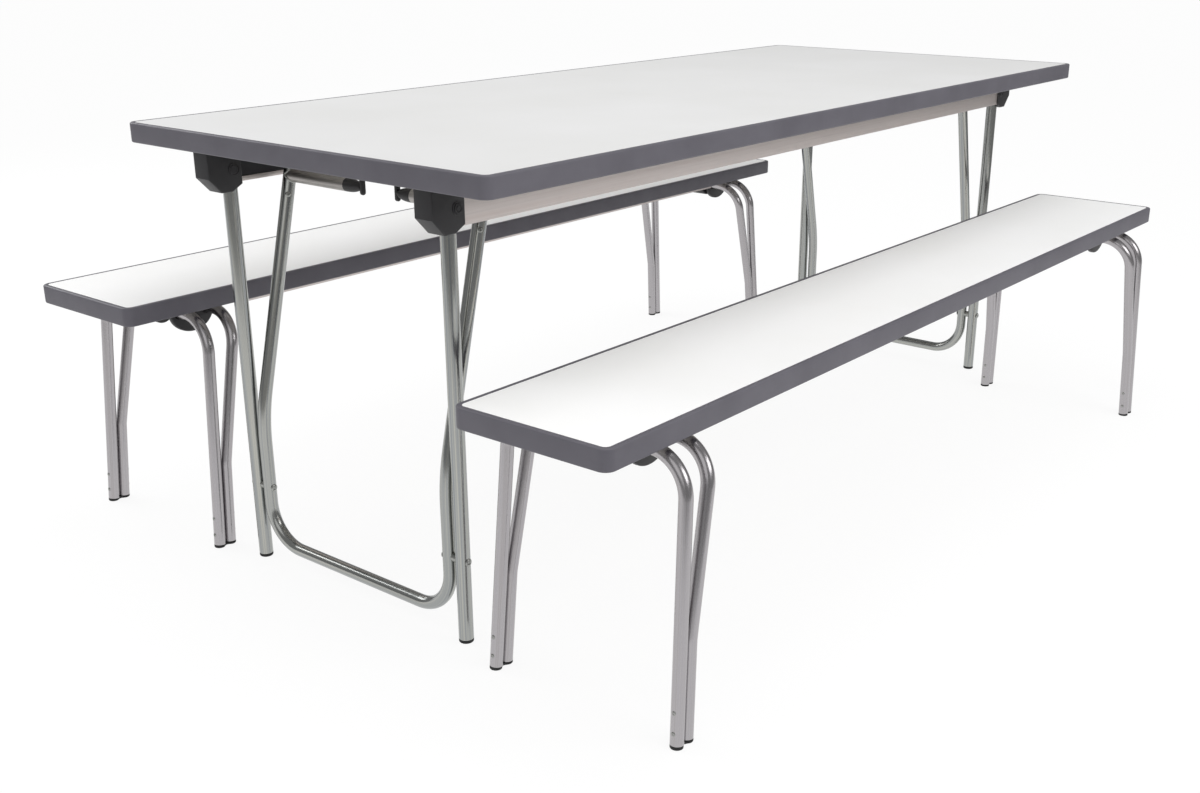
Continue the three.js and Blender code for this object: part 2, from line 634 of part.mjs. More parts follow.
function tableEnd(end, turn, sides) {
  const group = new THREE.Group();
  group.rotation.z = turn;
  piece(group, `${end}_brace`, brace(), zincSteel);
  for (const [name, side] of Object.entries(sides)) {
    const corner = `${end}_${name}`;
    piece(group, `${corner}_bracket`, onSide(cornerBracket(), side), blackPlastic);
    piece(group, `${corner}_pivot_pin`, onSide(pivotPin(), side), blackPlastic);
    piece(group, `${corner}_leg`, onSide(tableLeg(), side), zincSteel);
    piece(group, `${corner}_foot`, onSide(tableFoot(), side), blackPlastic);
    piece(group, `${corner}_rivet`, onSide(braceRivet(), side), zincSteel);
    piece(group, `${corner}_stub_plug`, onSide(stubPlug(), side), blackPlastic);
    piece(group, `${corner}_release_tab`, onSide(releaseTab(), side), blackPlastic);
  }
  return group;
}

function table() {
  const group = new THREE.Group();
  group.position.x = BENCH_LAG / 2;
  piece(group, "table_board", board(TABLE_LENGTH, TABLE_WIDTH, TABLE_HEIGHT), laminate);
  piece(group, "table_edge_trim", edgeTrim(TABLE_LENGTH, TABLE_WIDTH, TABLE_HEIGHT), trimPlastic);
  for (const [name, side] of Object.entries({ left: 1, right: -1 })) {
    const rail = alongX(railSection(0), -railReach(), railReach());
    piece(group, `${name}_rail`, onSide(rail, side), aluminium);
  }
  for (const { end, turn, sides } of ENDS) group.add(tableEnd(end, turn, sides));
  return group;
}

function benchEnd(bench, end, turn, sides) {
  const group = new THREE.Group();
  group.rotation.z = turn;
  piece(group, `${bench}_${end}_seat_bracket`, seatBracket(), blackPlastic);
  piece(group, `${bench}_${end}_outer_frame`, benchOuterFrame(), satinTube);
  piece(group, `${bench}_${end}_inner_frame`, benchInnerFrame(), satinTube);
  for (const [name, side] of Object.entries(sides)) {
    piece(group, `${bench}_${end}_${name}_shoe`, onSide(benchShoe(), side), blackPlastic);
  }
  return group;
}

function bench(name, side) {
  const group = new THREE.Group();
  group.position.set(-BENCH_LAG / 2, side * BENCH_DISTANCE, 0);
  piece(group, `${name}_board`, board(BENCH_LENGTH, BENCH_WIDTH, BENCH_HEIGHT), laminate);
  piece(group, `${name}_edge_trim`, edgeTrim(BENCH_LENGTH, BENCH_WIDTH, BENCH_HEIGHT), trimPlastic);
  piece(group, `${name}_channel`, seatChannel(), aluminium);
  for (const { end, turn, sides } of ENDS) group.add(benchEnd(name, end, turn, sides));
  return group;
}

const set = new THREE.Group();
set.add(table());
set.add(bench("left_bench", 1));
set.add(bench("right_bench", -1));

export default set;
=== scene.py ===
import json
import math

import bmesh
import bpy
from mathutils import Matrix, Vector


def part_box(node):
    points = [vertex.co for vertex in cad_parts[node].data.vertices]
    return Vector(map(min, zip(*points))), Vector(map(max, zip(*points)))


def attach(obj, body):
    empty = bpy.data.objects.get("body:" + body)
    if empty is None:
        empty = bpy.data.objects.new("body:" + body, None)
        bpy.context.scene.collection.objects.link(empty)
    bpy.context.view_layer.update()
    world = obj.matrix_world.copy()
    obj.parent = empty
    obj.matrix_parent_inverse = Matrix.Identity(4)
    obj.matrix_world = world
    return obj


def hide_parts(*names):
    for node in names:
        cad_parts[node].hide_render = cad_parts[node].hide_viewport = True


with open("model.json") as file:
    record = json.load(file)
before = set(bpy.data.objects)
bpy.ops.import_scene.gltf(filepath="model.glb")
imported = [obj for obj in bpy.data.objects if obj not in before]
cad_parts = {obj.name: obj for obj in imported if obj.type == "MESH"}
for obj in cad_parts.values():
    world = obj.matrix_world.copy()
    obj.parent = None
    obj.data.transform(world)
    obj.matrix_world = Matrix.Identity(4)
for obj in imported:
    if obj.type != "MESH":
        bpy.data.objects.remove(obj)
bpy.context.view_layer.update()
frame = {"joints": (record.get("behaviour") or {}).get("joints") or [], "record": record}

# Camera of the photograph: pixels of its 1200 x 793 frame, degrees, metres, and a sensor in millimetres
IMAGE_WIDTH = 1200
IMAGE_HEIGHT = 793
FOCAL_PIXELS = 1360.4
PRINCIPAL_PIXEL = (636.6, 421.3)
CAMERA_PLACE = (-2.0552, -1.5286, 0.9942)
CAMERA_AZIMUTH = -51.80
CAMERA_ELEVATION = 20.08
CAMERA_ROLL = 0.15
CAMERA_REACH = 100
SENSOR_WIDTH = 36.0

# Boards and edge trim
TRIM_WALL = 0.003
TRIM_LIP_WIDTH = 0.005
TRIM_LIP = 0.0023
TRIM_CORNER = 0.016
TRIM_EDGE = 0.0026
TRIM_LIP_EDGE = 0.0007
BOARD_EDGE = 0.0003
FIT = 0.0003

# Rails and bench channels
RAIL_WEB = 0.002
RAIL_FLANGE = 0.0022
RAIL_BEAD = 0.0036
RAIL_BEAD_HEIGHT = 0.007
CHANNEL_WALL = 0.0018
SECTION_EDGE = 0.0004

# Table legs, feet and pivot rivets
LEG_RADIUS = 0.0111
TUBE_WALL = 0.0015
FOOT_HEIGHT = 0.006
FOOT_ROUND = 0.0024
FOOT_LIP = 0.0008
FOOT_LIP_INSET = 0.0006
FOOT_PLUG = 0.012
FOOT_PLUG_RADIUS = 0.0088
PIVOT_RIVET_RADIUS = 0.006
PIVOT_RIVET_HEIGHT = 0.0021
PIVOT_RIVET_RIM = 0.0005
SPACER_RADIUS = 0.0065
SPACER_SINK = 0.002

# Braces, stubs, plugs and release tabs
BRACE_RADIUS = 0.01025
BRACE_BEND = 0.068
BRACE_CREASE = 0.253
BRACE_CREASE_BEND = 0.350
BRACE_BAR_HEIGHT = 0.036
BRACE_SPACING = 0.0275
STUB_DROP = 0.019
STUB_INBOARD = 0.092
STUB_END = 0.072
WELD_RADIUS = 0.0016
WELD_RIPPLE = 0.12
WELD_RIPPLE_STEPS = 5
PLUG_TAPER = 0.0056
PLUG_CURVE = 3
PLUG_SPIGOT = 0.018
SPIGOT_RADIUS = 0.0082
ROD_RADIUS = 0.004
TAB_HALF_WIDTH = 0.0042
TAB_THICKNESS = 0.006
TAB_ABOVE = 0.0125
TAB_BELOW = 0.012
TAB_CORNER = 0.0022
TAB_EDGE = 0.0018
STAY_RIVET_DROP = 0.030
STAY_RIVET_RADIUS = 0.0042
STAY_RIVET_HEIGHT = 0.0022
STAY_RIVET_FACING = (-0.6, -0.8)

# Rivet heads: the cap's share of the radius, the hole's lip and taper, and the sink in the tube
RIVET_CAP = 0.48
RIVET_LIP = 0.0003
RIVET_HOLE_TAPER = 0.6
RIVET_SINK = 0.0006

# Corner brackets, the room cut in them for the leg and the rail, and their pins
BRACKET_EDGE = 0.0022
BRACKET_OUTBOARD = 0.0456
BRACKET_INBOARD = 0.0143
BRACKET_END_DEPTH = 0.047
BRACKET_DEPTH = 0.070
BRACKET_BOTTOM_START = 0.0236
BRACKET_BOTTOM_END = 0.0039
BRACKET_NOSE_DEPTH = 0.060
BRACKET_CORNER = 0.010
SLOT_PLAY = 0.0004
SWING_ROOM = 0.0008
CUT_PAST = 0.02
CUT_BELOW = 0.2
CUT_ABOVE = 0.01
COLLAR_RADIUS = 0.0094
COLLAR_HEIGHT = 0.0012
COLLAR_EDGE = 0.0004
PIN_HEAD = 0.007
PIN_EDGE = 0.0008
PIN_INNER_EDGE = 0.001
PIN_SHANK = 0.0045
PIN_GROOVE_OUTER = 0.0052
PIN_GROOVE_INNER = 0.0032
PIN_GROOVE_SLOPE = 0.0006
PIN_GROOVE_DEPTH = 0.0009
PIN_EYE = 0.0008

# Bench legs and their rivets
BENCH_TUBE_RADIUS = 0.0095
BENCH_BEND = 0.057
BENCH_CREASE = 0.142
BENCH_CREASE_BEND = 0.080
BENCH_TUBE_SPACING = 0.0203
BENCH_BAR_SPACING = 0.0525
BENCH_LEAN = 0.078
BENCH_SPLAY = 0.032
BENCH_FOOT_Y = 0.160
LEG_RIVET_HEIGHTS = (0.023, 0.052)
LEG_RIVET_RADIUS = 0.0032
LEG_RIVET_HEIGHT = 0.0009
LEG_RIVET_RIM = 0.0007

# Twin shoes; each low level is a height and an inset as shares of the round, and a share of the leg's tilt
SHOE_HEIGHT = 0.005
SHOE_ROUND = 0.0016
SHOE_WAIST = 0.0048
SHOE_EDGE = 0.0004
SHOE_LOW_LEVELS = ((0, 1, 0), (0.3, 0.35, 0.1), (1, 0, 0.3))

# Seat brackets, cheeks and keepers, with angles in degrees
SEAT_BRACKET_EDGE = 0.0015
SEAT_BRACKET_OUTBOARD = 0.014
SEAT_BRACKET_LOBE = 0.026
SEAT_BRACKET_LOBE_END = 36
SEAT_BRACKET_WALL_ANGLE = 16
CHEEK_REACH = 0.0715
CHEEK_GAP = 0.0008
CHEEK_EDGE = 0.0028
CHEEK_CENTRE = (0.027, -0.002)
CHEEK_SIZE = (0.041, 0.035)
CHEEK_TURN_RADIUS = 0.0132
CHEEK_TURN_DEPTH = 0.013
CHEEK_FIT = 0.0001
KEEPER_CENTRE = (0.0465, -0.005)
KEEPER_SIZE = (0.0225, 0.024)
KEEPER_DROP = 0.0008
KEEPER_HALF_WIDTH = 0.014
KEEPER_EDGE = 0.001

# Surfaces: spans of noise that tints cover, noise settings, and bumps as strength and depth
CLOUD_SPAN = (0.3, 0.7)
SPECK_SPAN = (0.3, 0.6)
STREAK_SPAN = (0.28, 0.72)
NOISE_ROUGHNESS = 0.55
CLOUD_DETAIL = 3.0
GRAIN_DETAIL = 2.0
STREAK_DETAIL = 4.0
SURFACE_IOR = 1.5
LAMINATE_CLOUD = 4.0
LAMINATE_GRAIN = 1100.0
LAMINATE_ROUGHNESS = (0.36, 0.50)
LAMINATE_BUMP = (0.12, 0.0004)
MOULDED_CLOUD = 14.0
MOULDED_DEPTH = 0.0003
BACKING_CLOUD = 9.0
BACKING_SPECK = 420.0
BACKING_SPECKLE = (0.2, 0.6)
BACKING_ROUGHNESS = (0.5, 0.7)
BACKING_BUMP = (0.1, 0.0004)
DRAWN_BUMP = (0.06, 0.0002)
TUBE_STRETCH = (11, 0.9, 1)

# Studio; each lamp has a place, a target, a size and a power in watts
FLOOR_SIZE = 40
FLOOR_SEEN = (0.98, 0.98, 0.98)
FLOOR_BOUNCE = (0.58, 0.58, 0.58)
FLOOR_GLOW = 0.89
WORLD_LIGHT = 0.82
ROOM_HALF = 5.0
ROOM_HEIGHT = 4.0
ROOM_LEVEL = 0.30
LIT_FLOOR_CENTRE = (0.3, 1.3)
LIT_FLOOR_RADIUS = 3.4
CARD_HEIGHT = 0.002
LAMPS = {
    "top_softbox": ((-0.2, -0.2, 3.2), (0, -0.2, 0.4), (1.6, 1.2), 17),
    "right_softbox": ((0.2, -3.3, 2.1), (0.1, -0.3, 0.4), (2.6, 1.4), 37),
    "left_softbox": ((-1.0, 3.3, 2.2), (-0.3, 0.4, 0.4), (2.6, 1.4), 45),
    "front_softbox": ((-3.3, -1.4, 2.0), (-0.4, -0.2, 0.4), (2.4, 2.4), 12),
}

# Fineness of the meshes
TUBE_SIDES = 40
TURN_SIDES = 48
WELD_SIDES = 10
BORE_SIDES = 36
ROOM_SIDES = 40
BEND_STEPS = 20
CREASE_STEPS = 8
CORNER_STEPS = 10
ROUND_STEPS = 6
SHOE_STEPS = 14
LOBE_STEPS = 24
WALL_STEPS = 6
SEAT_STEPS = 20
KEEPER_STEPS = 40
CHEEK_STEPS = 60
CHEEK_TURN_STEPS = 12
PLATE_EDGE_STEPS = 3
SECTION_EDGE_STEPS = 2
ROUND_PROFILE = 0.5
SHARP_ANGLE = 35
MERGE_DISTANCE = 1e-6
PLATE_MERGE_DISTANCE = 2e-6
BEAD_MERGE_DISTANCE = 1e-7

# Turn of each end about Z, and the sign of Y on the left and right of a piece drawn for the near end
ENDS = {"near": (0.0, {"left": 1, "right": -1}), "far": (math.pi, {"left": -1, "right": 1})}

# Stands a plate up from the X-Y plane, with its thickness along Y
STANDING = Matrix(((1, 0, 0, 0), (0, 0, -1, 0), (0, 1, 0, 0), (0, 0, 0, 1)))

# Places read from the frame
joint_place = {j["name"]: Vector(j["pos_m"]) for j in frame["joints"] if j["type"] == "hinge"}
node_body = {n: b for b, ns in frame["record"]["behaviour"]["bodies"].items() for n in ns}


def middle(node):
    low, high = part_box(node)
    return (low + high) / 2


table_centre = Vector((middle("table_board").x, 0, 0))
leg_x = table_centre.x - joint_place["near_leg_fold"].x
leg_y = middle("near_left_leg").y
leg_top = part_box("near_left_leg")[1].z
pivot_z = joint_place["near_leg_fold"].z
rivet_z = joint_place["near_brace_fold"].z
brace_y = leg_y - BRACE_SPACING
stub_x = leg_x - STUB_INBOARD
stub_z = pivot_z - STUB_DROP
plug_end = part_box("near_left_stub_plug")[0].y
bracket_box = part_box("near_left_bracket")
pin_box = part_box("near_left_pivot_pin")
rail_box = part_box("left_rail")
rise = Vector((STUB_INBOARD, 0, stub_z - BRACE_CREASE)).normalized()


# Meshes
def mesh_of(bm, name):
    mesh = bpy.data.meshes.new(name)
    bm.to_mesh(mesh)
    bm.free()
    return mesh


def linked(name, data):
    thing = bpy.data.objects.new(name, data)
    bpy.context.scene.collection.objects.link(thing)
    return thing


def finish_mesh(name, bm, materials, body, nodes=()):
    bmesh.ops.recalc_face_normals(bm, faces=bm.faces)
    mesh = mesh_of(bm, name)
    for material in materials:
        mesh.materials.append(material)
    mesh.shade_smooth()
    mesh.set_sharp_from_angle(angle=math.radians(SHARP_ANGLE))
    piece = linked(name, mesh)
    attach(piece, body)
    if nodes:
        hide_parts(*nodes)


def end_matrix(centre, end, side=1):
    """Takes a piece drawn for the left of the near end to another end and side."""
    turn = ENDS[end][0]
    return Matrix.Translation(centre) @ Matrix.Rotation(turn, 4, "Z") @ Matrix.Diagonal((1, side, 1, 1))


def moved(bm, matrix):
    bmesh.ops.transform(bm, matrix=matrix, verts=bm.verts)
    return bm


def merged(bm, distance=MERGE_DISTANCE):
    bmesh.ops.remove_doubles(bm, verts=bm.verts, dist=distance)
    return bm


def joined(*parts):
    whole = bmesh.new()
    for part in parts:
        scratch = mesh_of(part, "scratch")
        whole.from_mesh(scratch)
        bpy.data.meshes.remove(scratch)
    return whole


def circle(count):
    """Angles of points evenly spaced round a circle."""
    return [2 * math.pi * k / count for k in range(count)]


def arc(cx, cy, rx, ry, start, end, steps):
    """Points on an ellipse from a start to an end angle in radians."""
    angles = [start + (end - start) * k / steps for k in range(steps + 1)]
    return [(cx + rx * math.cos(a), cy + ry * math.sin(a)) for a in angles]


def skin(rings, closed_ends=True, uv_lengths=None):
    """Faces between rings of equal count; each ring is a closed loop of points."""
    bm = bmesh.new()
    loops = [[bm.verts.new(p) for p in ring] for ring in rings]
    count = len(rings[0])
    uv = bm.loops.layers.uv.new("UVMap") if uv_lengths else None
    around = [1 - abs(2 * i / count - 1) for i in range(count + 1)]
    for k in range(len(loops) - 1):
        for i in range(count):
            j = (i + 1) % count
            face = bm.faces.new((loops[k][i], loops[k][j], loops[k + 1][j], loops[k + 1][i]))
            if uv:
                us = (around[i], around[i + 1], around[i + 1], around[i])
                vs = (uv_lengths[k], uv_lengths[k], uv_lengths[k + 1], uv_lengths[k + 1])
                for corner, u, v in zip(face.loops, us, vs):
                    corner[uv].uv = (u, v)
    if closed_ends:
        bm.faces.new(reversed(loops[0]))
        bm.faces.new(loops[-1])
    return bm


def bent_path(corners, bends):
    """Stations (point, tangent) along straight runs whose corners are rounded by (radius, steps)."""
    runs = [(b - a).normalized() for a, b in zip(corners, corners[1:])]
    stations = [(corners[0], runs[0])]
    for corner, into, out, (radius, steps) in zip(corners[1:], runs, runs[1:], bends):
        turn = into.angle(out)
        start = corner - into * radius * math.tan(turn / 2)
        inward = (out - into * into.dot(out)).normalized()
        for step in range(steps + 1):
            angle = turn * step / steps
            point = start + into * radius * math.sin(angle) + inward * radius * (1 - math.cos(angle))
            stations.append((point, into * math.cos(angle) + inward * math.sin(angle)))
    stations.append((corners[-1], runs[-1]))
    return stations


def tube(stations, radius):
    """A hollow tube along the stations, with its length in V for drawn lines."""
    normal = stations[0][1].orthogonal().normalized()
    outer = []
    inner = []
    lengths = []
    travelled = 0.0
    previous = stations[0][0]
    for point, tangent in stations:
        normal = (normal - tangent * normal.dot(tangent)).normalized()
        across = tangent.cross(normal)
        spokes = [normal * math.cos(a) + across * math.sin(a) for a in circle(TUBE_SIDES)]
        outer.append([point + s * radius for s in spokes])
        inner.append([point + s * (radius - TUBE_WALL) for s in spokes])
        travelled += (point - previous).length
        previous = point
        lengths.append(travelled)
    rings = outer + inner[::-1] + outer[:1]
    return merged(skin(rings, closed_ends=False, uv_lengths=lengths + lengths[::-1] + lengths[:1]))


def turned(profile, place, axis, ring=False):
    """A turned piece from (radius, height) corners along an axis; the profile of a ring closes on itself."""
    corners = profile + profile[:1] if ring else profile
    spokes = [(math.cos(angle), math.sin(angle)) for angle in circle(TURN_SIDES)]
    rings = [[Vector((radius * x, radius * y, height)) for x, y in spokes] for radius, height in corners]
    bm = skin(rings, closed_ends=not ring)
    if ring:
        merged(bm)
    aim = Vector((0, 0, 1)).rotation_difference(Vector(axis)).to_matrix().to_4x4()
    return moved(bm, Matrix.Translation(place) @ aim)


def quarter(radius, height, size, start):
    """Corners of a quarter round about (radius, height), from a start angle in degrees."""
    points = []
    for step in range(ROUND_STEPS + 1):
        angle = math.radians(start + 90 * step / ROUND_STEPS)
        points.append((radius + size * math.cos(angle), height + size * math.sin(angle)))
    return points


def dome(radius, height, rim):
    """Profile of a rivet head: a short rim and a shallow cap with a hole in its middle."""
    points = [(radius, 0), (radius, rim)]
    for step in range(1, ROUND_STEPS + 1):
        share = step / ROUND_STEPS
        swell = (height - rim) * math.sin(share * math.pi / 2)
        points.append((radius * (1 - RIVET_CAP * share), rim + swell))
    hole = radius * (1 - RIVET_CAP) - RIVET_LIP
    points += [(hole, height - RIVET_LIP), (hole * RIVET_HOLE_TAPER, rim * RIVET_HOLE_TAPER)]
    return points


def plate(loops, thickness, edge):
    """A plate in the X-Y plane from outline loops, with rounded edges, centred on Z."""
    curve = bpy.data.curves.new("outline", "CURVE")
    curve.dimensions = "2D"
    curve.fill_mode = "BOTH"
    curve.extrude = thickness / 2 - edge
    curve.bevel_depth = edge
    curve.bevel_resolution = PLATE_EDGE_STEPS
    curve.offset = -edge
    for loop in loops:
        spline = curve.splines.new("POLY")
        spline.points.add(len(loop) - 1)
        for point, (x, y) in zip(spline.points, loop):
            point.co = (x, y, 0, 1)
        spline.use_cyclic_u = True
    scratch = linked("outline", curve)
    graph = bpy.context.evaluated_depsgraph_get()
    mesh = bpy.data.meshes.new_from_object(scratch.evaluated_get(graph))
    bm = bmesh.new()
    bm.from_mesh(mesh)
    bpy.data.objects.remove(scratch)
    bpy.data.curves.remove(curve)
    bpy.data.meshes.remove(mesh)
    return merged(bm, PLATE_MERGE_DISTANCE)


def prism(outline, x0, x1):
    """A section in Y and Z run along X, with its edges eased."""
    bm = skin([[Vector((x, y, z)) for y, z in outline] for x in (x0, x1)])
    bmesh.ops.recalc_face_normals(bm, faces=bm.faces)
    bmesh.ops.bevel(bm, geom=list(bm.edges), offset=SECTION_EDGE, segments=SECTION_EDGE_STEPS,
                    profile=ROUND_PROFILE, affect="EDGES")
    return bm


def brick(x0, x1, y0, y1, z0, z1):
    bm = bmesh.new()
    size = Matrix.Diagonal((x1 - x0, y1 - y0, z1 - z0, 1))
    place = Matrix.Translation(((x0 + x1) / 2, (y0 + y1) / 2, (z0 + z1) / 2))
    bmesh.ops.create_cube(bm, size=1, matrix=place @ size)
    return bm


def carve(bm, cutters):
    """The solid less the cutters."""
    things = []
    for part in [bm] + cutters:
        bmesh.ops.recalc_face_normals(part, faces=part.faces)
        things.append(linked("carved", mesh_of(part, "carved")))
    base = things[0]
    for tool in things[1:]:
        cut = base.modifiers.new("cut", "BOOLEAN")
        cut.operation = "DIFFERENCE"
        cut.solver = "EXACT"
        cut.object = tool
    graph = bpy.context.evaluated_depsgraph_get()
    mesh = bpy.data.meshes.new_from_object(base.evaluated_get(graph))
    result = bmesh.new()
    result.from_mesh(mesh)
    bpy.data.meshes.remove(mesh)
    for thing in things:
        data = thing.data
        bpy.data.objects.remove(thing)
        bpy.data.meshes.remove(data)
    return result


# Materials
def linear(srgb):
    """Linear colour from 0-255 sRGB values."""
    out = []
    for value in srgb:
        c = value / 255
        out.append(c / 12.92 if c <= 0.04045 else ((c + 0.055) / 1.055) ** 2.4)
    return out


class Paint:
    """A material's node tree with short calls for the nodes used here."""

    def __init__(self, name, **sockets):
        self.material = bpy.data.materials.new(name)
        self.material.use_nodes = True
        self.nodes = self.material.node_tree.nodes
        self.links = self.material.node_tree.links
        self.shader = self.nodes["Principled BSDF"]
        for socket, value in sockets.items():
            self.shader.inputs[socket].default_value = value

    def node(self, kind, **inputs):
        made = self.nodes.new(kind)
        for socket, value in inputs.items():
            target = made.inputs[socket.replace("_", " ")]
            if hasattr(value, "is_output"):
                self.links.new(value, target)
            else:
                target.default_value = value
        return made

    def place(self, source, scale=(1, 1, 1)):
        coordinates = self.node("ShaderNodeTexCoord")
        return self.node("ShaderNodeMapping", Vector=coordinates.outputs[source], Scale=scale).outputs[0]

    def noise(self, vector, scale, detail):
        made = self.node("ShaderNodeTexNoise", Vector=vector, Scale=scale, Detail=detail,
                         Roughness=NOISE_ROUGHNESS)
        return made.outputs["Fac"]

    def ramp(self, value, tints, span):
        """Tints spread evenly over a span of the value."""
        made = self.node("ShaderNodeValToRGB", Fac=value)
        elements = made.color_ramp.elements
        while len(elements) < len(tints):
            elements.new(0.5)
        for k, (element, tint) in enumerate(zip(elements, tints)):
            element.position = span[0] + (span[1] - span[0]) * k / (len(tints) - 1)
            element.color = (*linear(tint), 1)
        return made.outputs["Color"]

    def spread(self, value, low, high):
        made = self.node("ShaderNodeMapRange", Value=value, To_Min=low, To_Max=high)
        return made.outputs["Result"]

    def mix(self, fac, a, b):
        made = self.nodes.new("ShaderNodeMix")
        made.data_type = "RGBA"
        self.links.new(fac, made.inputs["Factor"])
        self.links.new(a, made.inputs["A"])
        self.links.new(b, made.inputs["B"])
        return made.outputs["Result"]

    def bump(self, height, strength, distance):
        made = self.node("ShaderNodeBump", Height=height, Strength=strength, Distance=distance)
        self.links.new(made.outputs["Normal"], self.shader.inputs["Normal"])

    def feed(self, socket, value):
        self.links.new(value, self.shader.inputs[socket])


def grained_material(name, tints, rough, grain_scale, bump, cloud_scale=MOULDED_CLOUD):
    """Laminate or moulded plastic with a fine grain and a slight change of tone."""
    paint = Paint(name, IOR=SURFACE_IOR)
    place = paint.place("Object")
    cloud = paint.noise(place, cloud_scale, CLOUD_DETAIL)
    grain = paint.noise(place, grain_scale, GRAIN_DETAIL)
    paint.feed("Base Color", paint.ramp(cloud, tints, CLOUD_SPAN))
    paint.feed("Roughness", paint.spread(grain, *rough))
    paint.bump(grain, *bump)
    return paint.material


def laminate_material(name, tints):
    return grained_material(name, tints, LAMINATE_ROUGHNESS, LAMINATE_GRAIN, LAMINATE_BUMP, LAMINATE_CLOUD)


def backing_material(name, tones, specks):
    """A speckled sheet under the boards."""
    paint = Paint(name, IOR=SURFACE_IOR)
    place = paint.place("Object")
    cloud = paint.noise(place, BACKING_CLOUD, CLOUD_DETAIL)
    speck = paint.noise(place, BACKING_SPECK, GRAIN_DETAIL)
    tone = paint.ramp(cloud, tones, CLOUD_SPAN)
    dark = paint.ramp(speck, specks, SPECK_SPAN)
    paint.feed("Base Color", paint.mix(paint.spread(speck, *BACKING_SPECKLE), tone, dark))
    paint.feed("Roughness", paint.spread(speck, *BACKING_ROUGHNESS))
    paint.bump(speck, *BACKING_BUMP)
    return paint.material


def drawn_metal(name, tints, rough, line_scale, source="UV", stretch=TUBE_STRETCH):
    """Drawn or brushed metal: streaks of tint and gloss that run along the piece."""
    paint = Paint(name, Metallic=1.0)
    along = paint.place(source, stretch)
    fine = paint.place(source, tuple(s * line_scale for s in stretch))
    streak = paint.noise(along, 1.0, STREAK_DETAIL)
    lines = paint.noise(fine, 1.0, GRAIN_DETAIL)
    paint.feed("Base Color", paint.ramp(streak, tints, STREAK_SPAN))
    paint.feed("Roughness", paint.spread(lines, *rough))
    paint.bump(lines, *DRAWN_BUMP)
    return paint.material


table_laminate = laminate_material("table_laminate", [(219, 219, 218), (223, 223, 223)])
bench_laminate = laminate_material("bench_laminate", [(246, 246, 245), (249, 249, 249)])
backing = backing_material("backing_sheet", [(205, 203, 198), (216, 214, 209)],
                           [(196, 194, 190), (214, 212, 208)])
trim_plastic = grained_material("edge_trim", [(90, 88, 96), (98, 96, 104)], rough=(0.40, 0.56),
                                grain_scale=900.0, bump=(0.16, MOULDED_DEPTH))
black_plastic = grained_material("black_moulding", [(31, 30, 33), (40, 39, 42)], rough=(0.36, 0.58),
                                 grain_scale=700.0, bump=(0.30, MOULDED_DEPTH))
foot_rubber = grained_material("foot_rubber", [(20, 20, 22), (28, 28, 30)], rough=(0.6, 0.8),
                               grain_scale=500.0, bump=(0.25, MOULDED_DEPTH))
# Painted shade: a dark grey standing in for the shade on the rails' inner web faces under the board, not a
# real coating
rail_inner_painted_shade = grained_material("rail_inner_painted_shade", [(34, 33, 37), (42, 41, 45)], rough=(0.45, 0.62),
                                grain_scale=600.0, bump=(0.12, MOULDED_DEPTH))
zinc = drawn_metal("zinc_plate", [(188, 186, 177), (162, 164, 162), (131, 136, 142)], rough=(0.14, 0.27),
                   line_scale=6.0)
stub_zinc = drawn_metal("dull_zinc", [(172, 168, 165), (187, 183, 180)], rough=(0.36, 0.48), line_scale=6.0)
weld_zinc = drawn_metal("weld_bead", [(150, 151, 147), (178, 180, 177)], rough=(0.26, 0.42), line_scale=3.0,
                        source="Object", stretch=(90, 90, 90))
bench_aluminium = drawn_metal("satin_tube", [(164, 160, 161), (177, 174, 176), (171, 168, 172)],
                              rough=(0.20, 0.32), line_scale=8.0)
section_aluminium = drawn_metal("brushed_section", [(210, 200, 196), (217, 209, 206), (206, 198, 195)],
                                rough=(0.42, 0.56), line_scale=3.0, source="Object", stretch=(1.5, 220, 220))


# Boards and edge trim
def rounded_rectangle(length, width, radius, z):
    points = []
    for k, (sx, sy) in enumerate(((1, 1), (-1, 1), (-1, -1), (1, -1))):
        start = k * math.pi / 2
        points += arc(sx * (length / 2 - radius), sy * (width / 2 - radius), radius, radius,
                      start, start + math.pi / 2, CORNER_STEPS)
    return [Vector((x, y, z)) for x, y in points]


def make_board(node, trim_node, laminate):
    low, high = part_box(trim_node)
    length, width, _ = high - low
    top = high.z
    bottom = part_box(node)[0].z
    core = TRIM_WALL + FIT
    showing = TRIM_WALL + TRIM_LIP_WIDTH + FIT / 2
    shoulder = top - TRIM_LIP - FIT

    def ring(inset, z):
        return rounded_rectangle(length - 2 * inset, width - 2 * inset, TRIM_CORNER - inset, z)

    bm = skin([ring(core, bottom), ring(core, shoulder), ring(showing, shoulder),
               ring(showing, top - BOARD_EDGE), ring(showing + BOARD_EDGE, top)])
    for face in bm.faces:
        face.material_index = 1 if face.calc_center_median().z < shoulder - FIT else 0
    moved(bm, Matrix.Translation(middle(trim_node) * Vector((1, 1, 0))))
    finish_mesh(f"{node}_panel", bm, [laminate, backing], node_body[node], [node])


def make_trim(node):
    low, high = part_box(node)
    length, width, height = high - low
    lip = TRIM_WALL + TRIM_LIP_WIDTH
    r = TRIM_EDGE
    e = TRIM_LIP_EDGE
    profile = quarter(lip - e, -e, e, 0)
    profile += quarter(r, -r, r, 90)
    profile += quarter(r, r - height, r, 180)
    profile += quarter(lip - e, e - height, e, 270)
    profile += [(lip, TRIM_LIP - height), (TRIM_WALL, TRIM_LIP - height), (TRIM_WALL, -TRIM_LIP),
                (lip, -TRIM_LIP)]
    rings = [rounded_rectangle(length - 2 * d, width - 2 * d, TRIM_CORNER - d, z) for d, z in profile]
    bm = merged(skin(rings + rings[:1], closed_ends=False))
    moved(bm, Matrix.Translation((*((low + high) / 2).xy, high.z)))
    finish_mesh(f"{node}_strip", bm, [trim_plastic], node_body[node], [node])


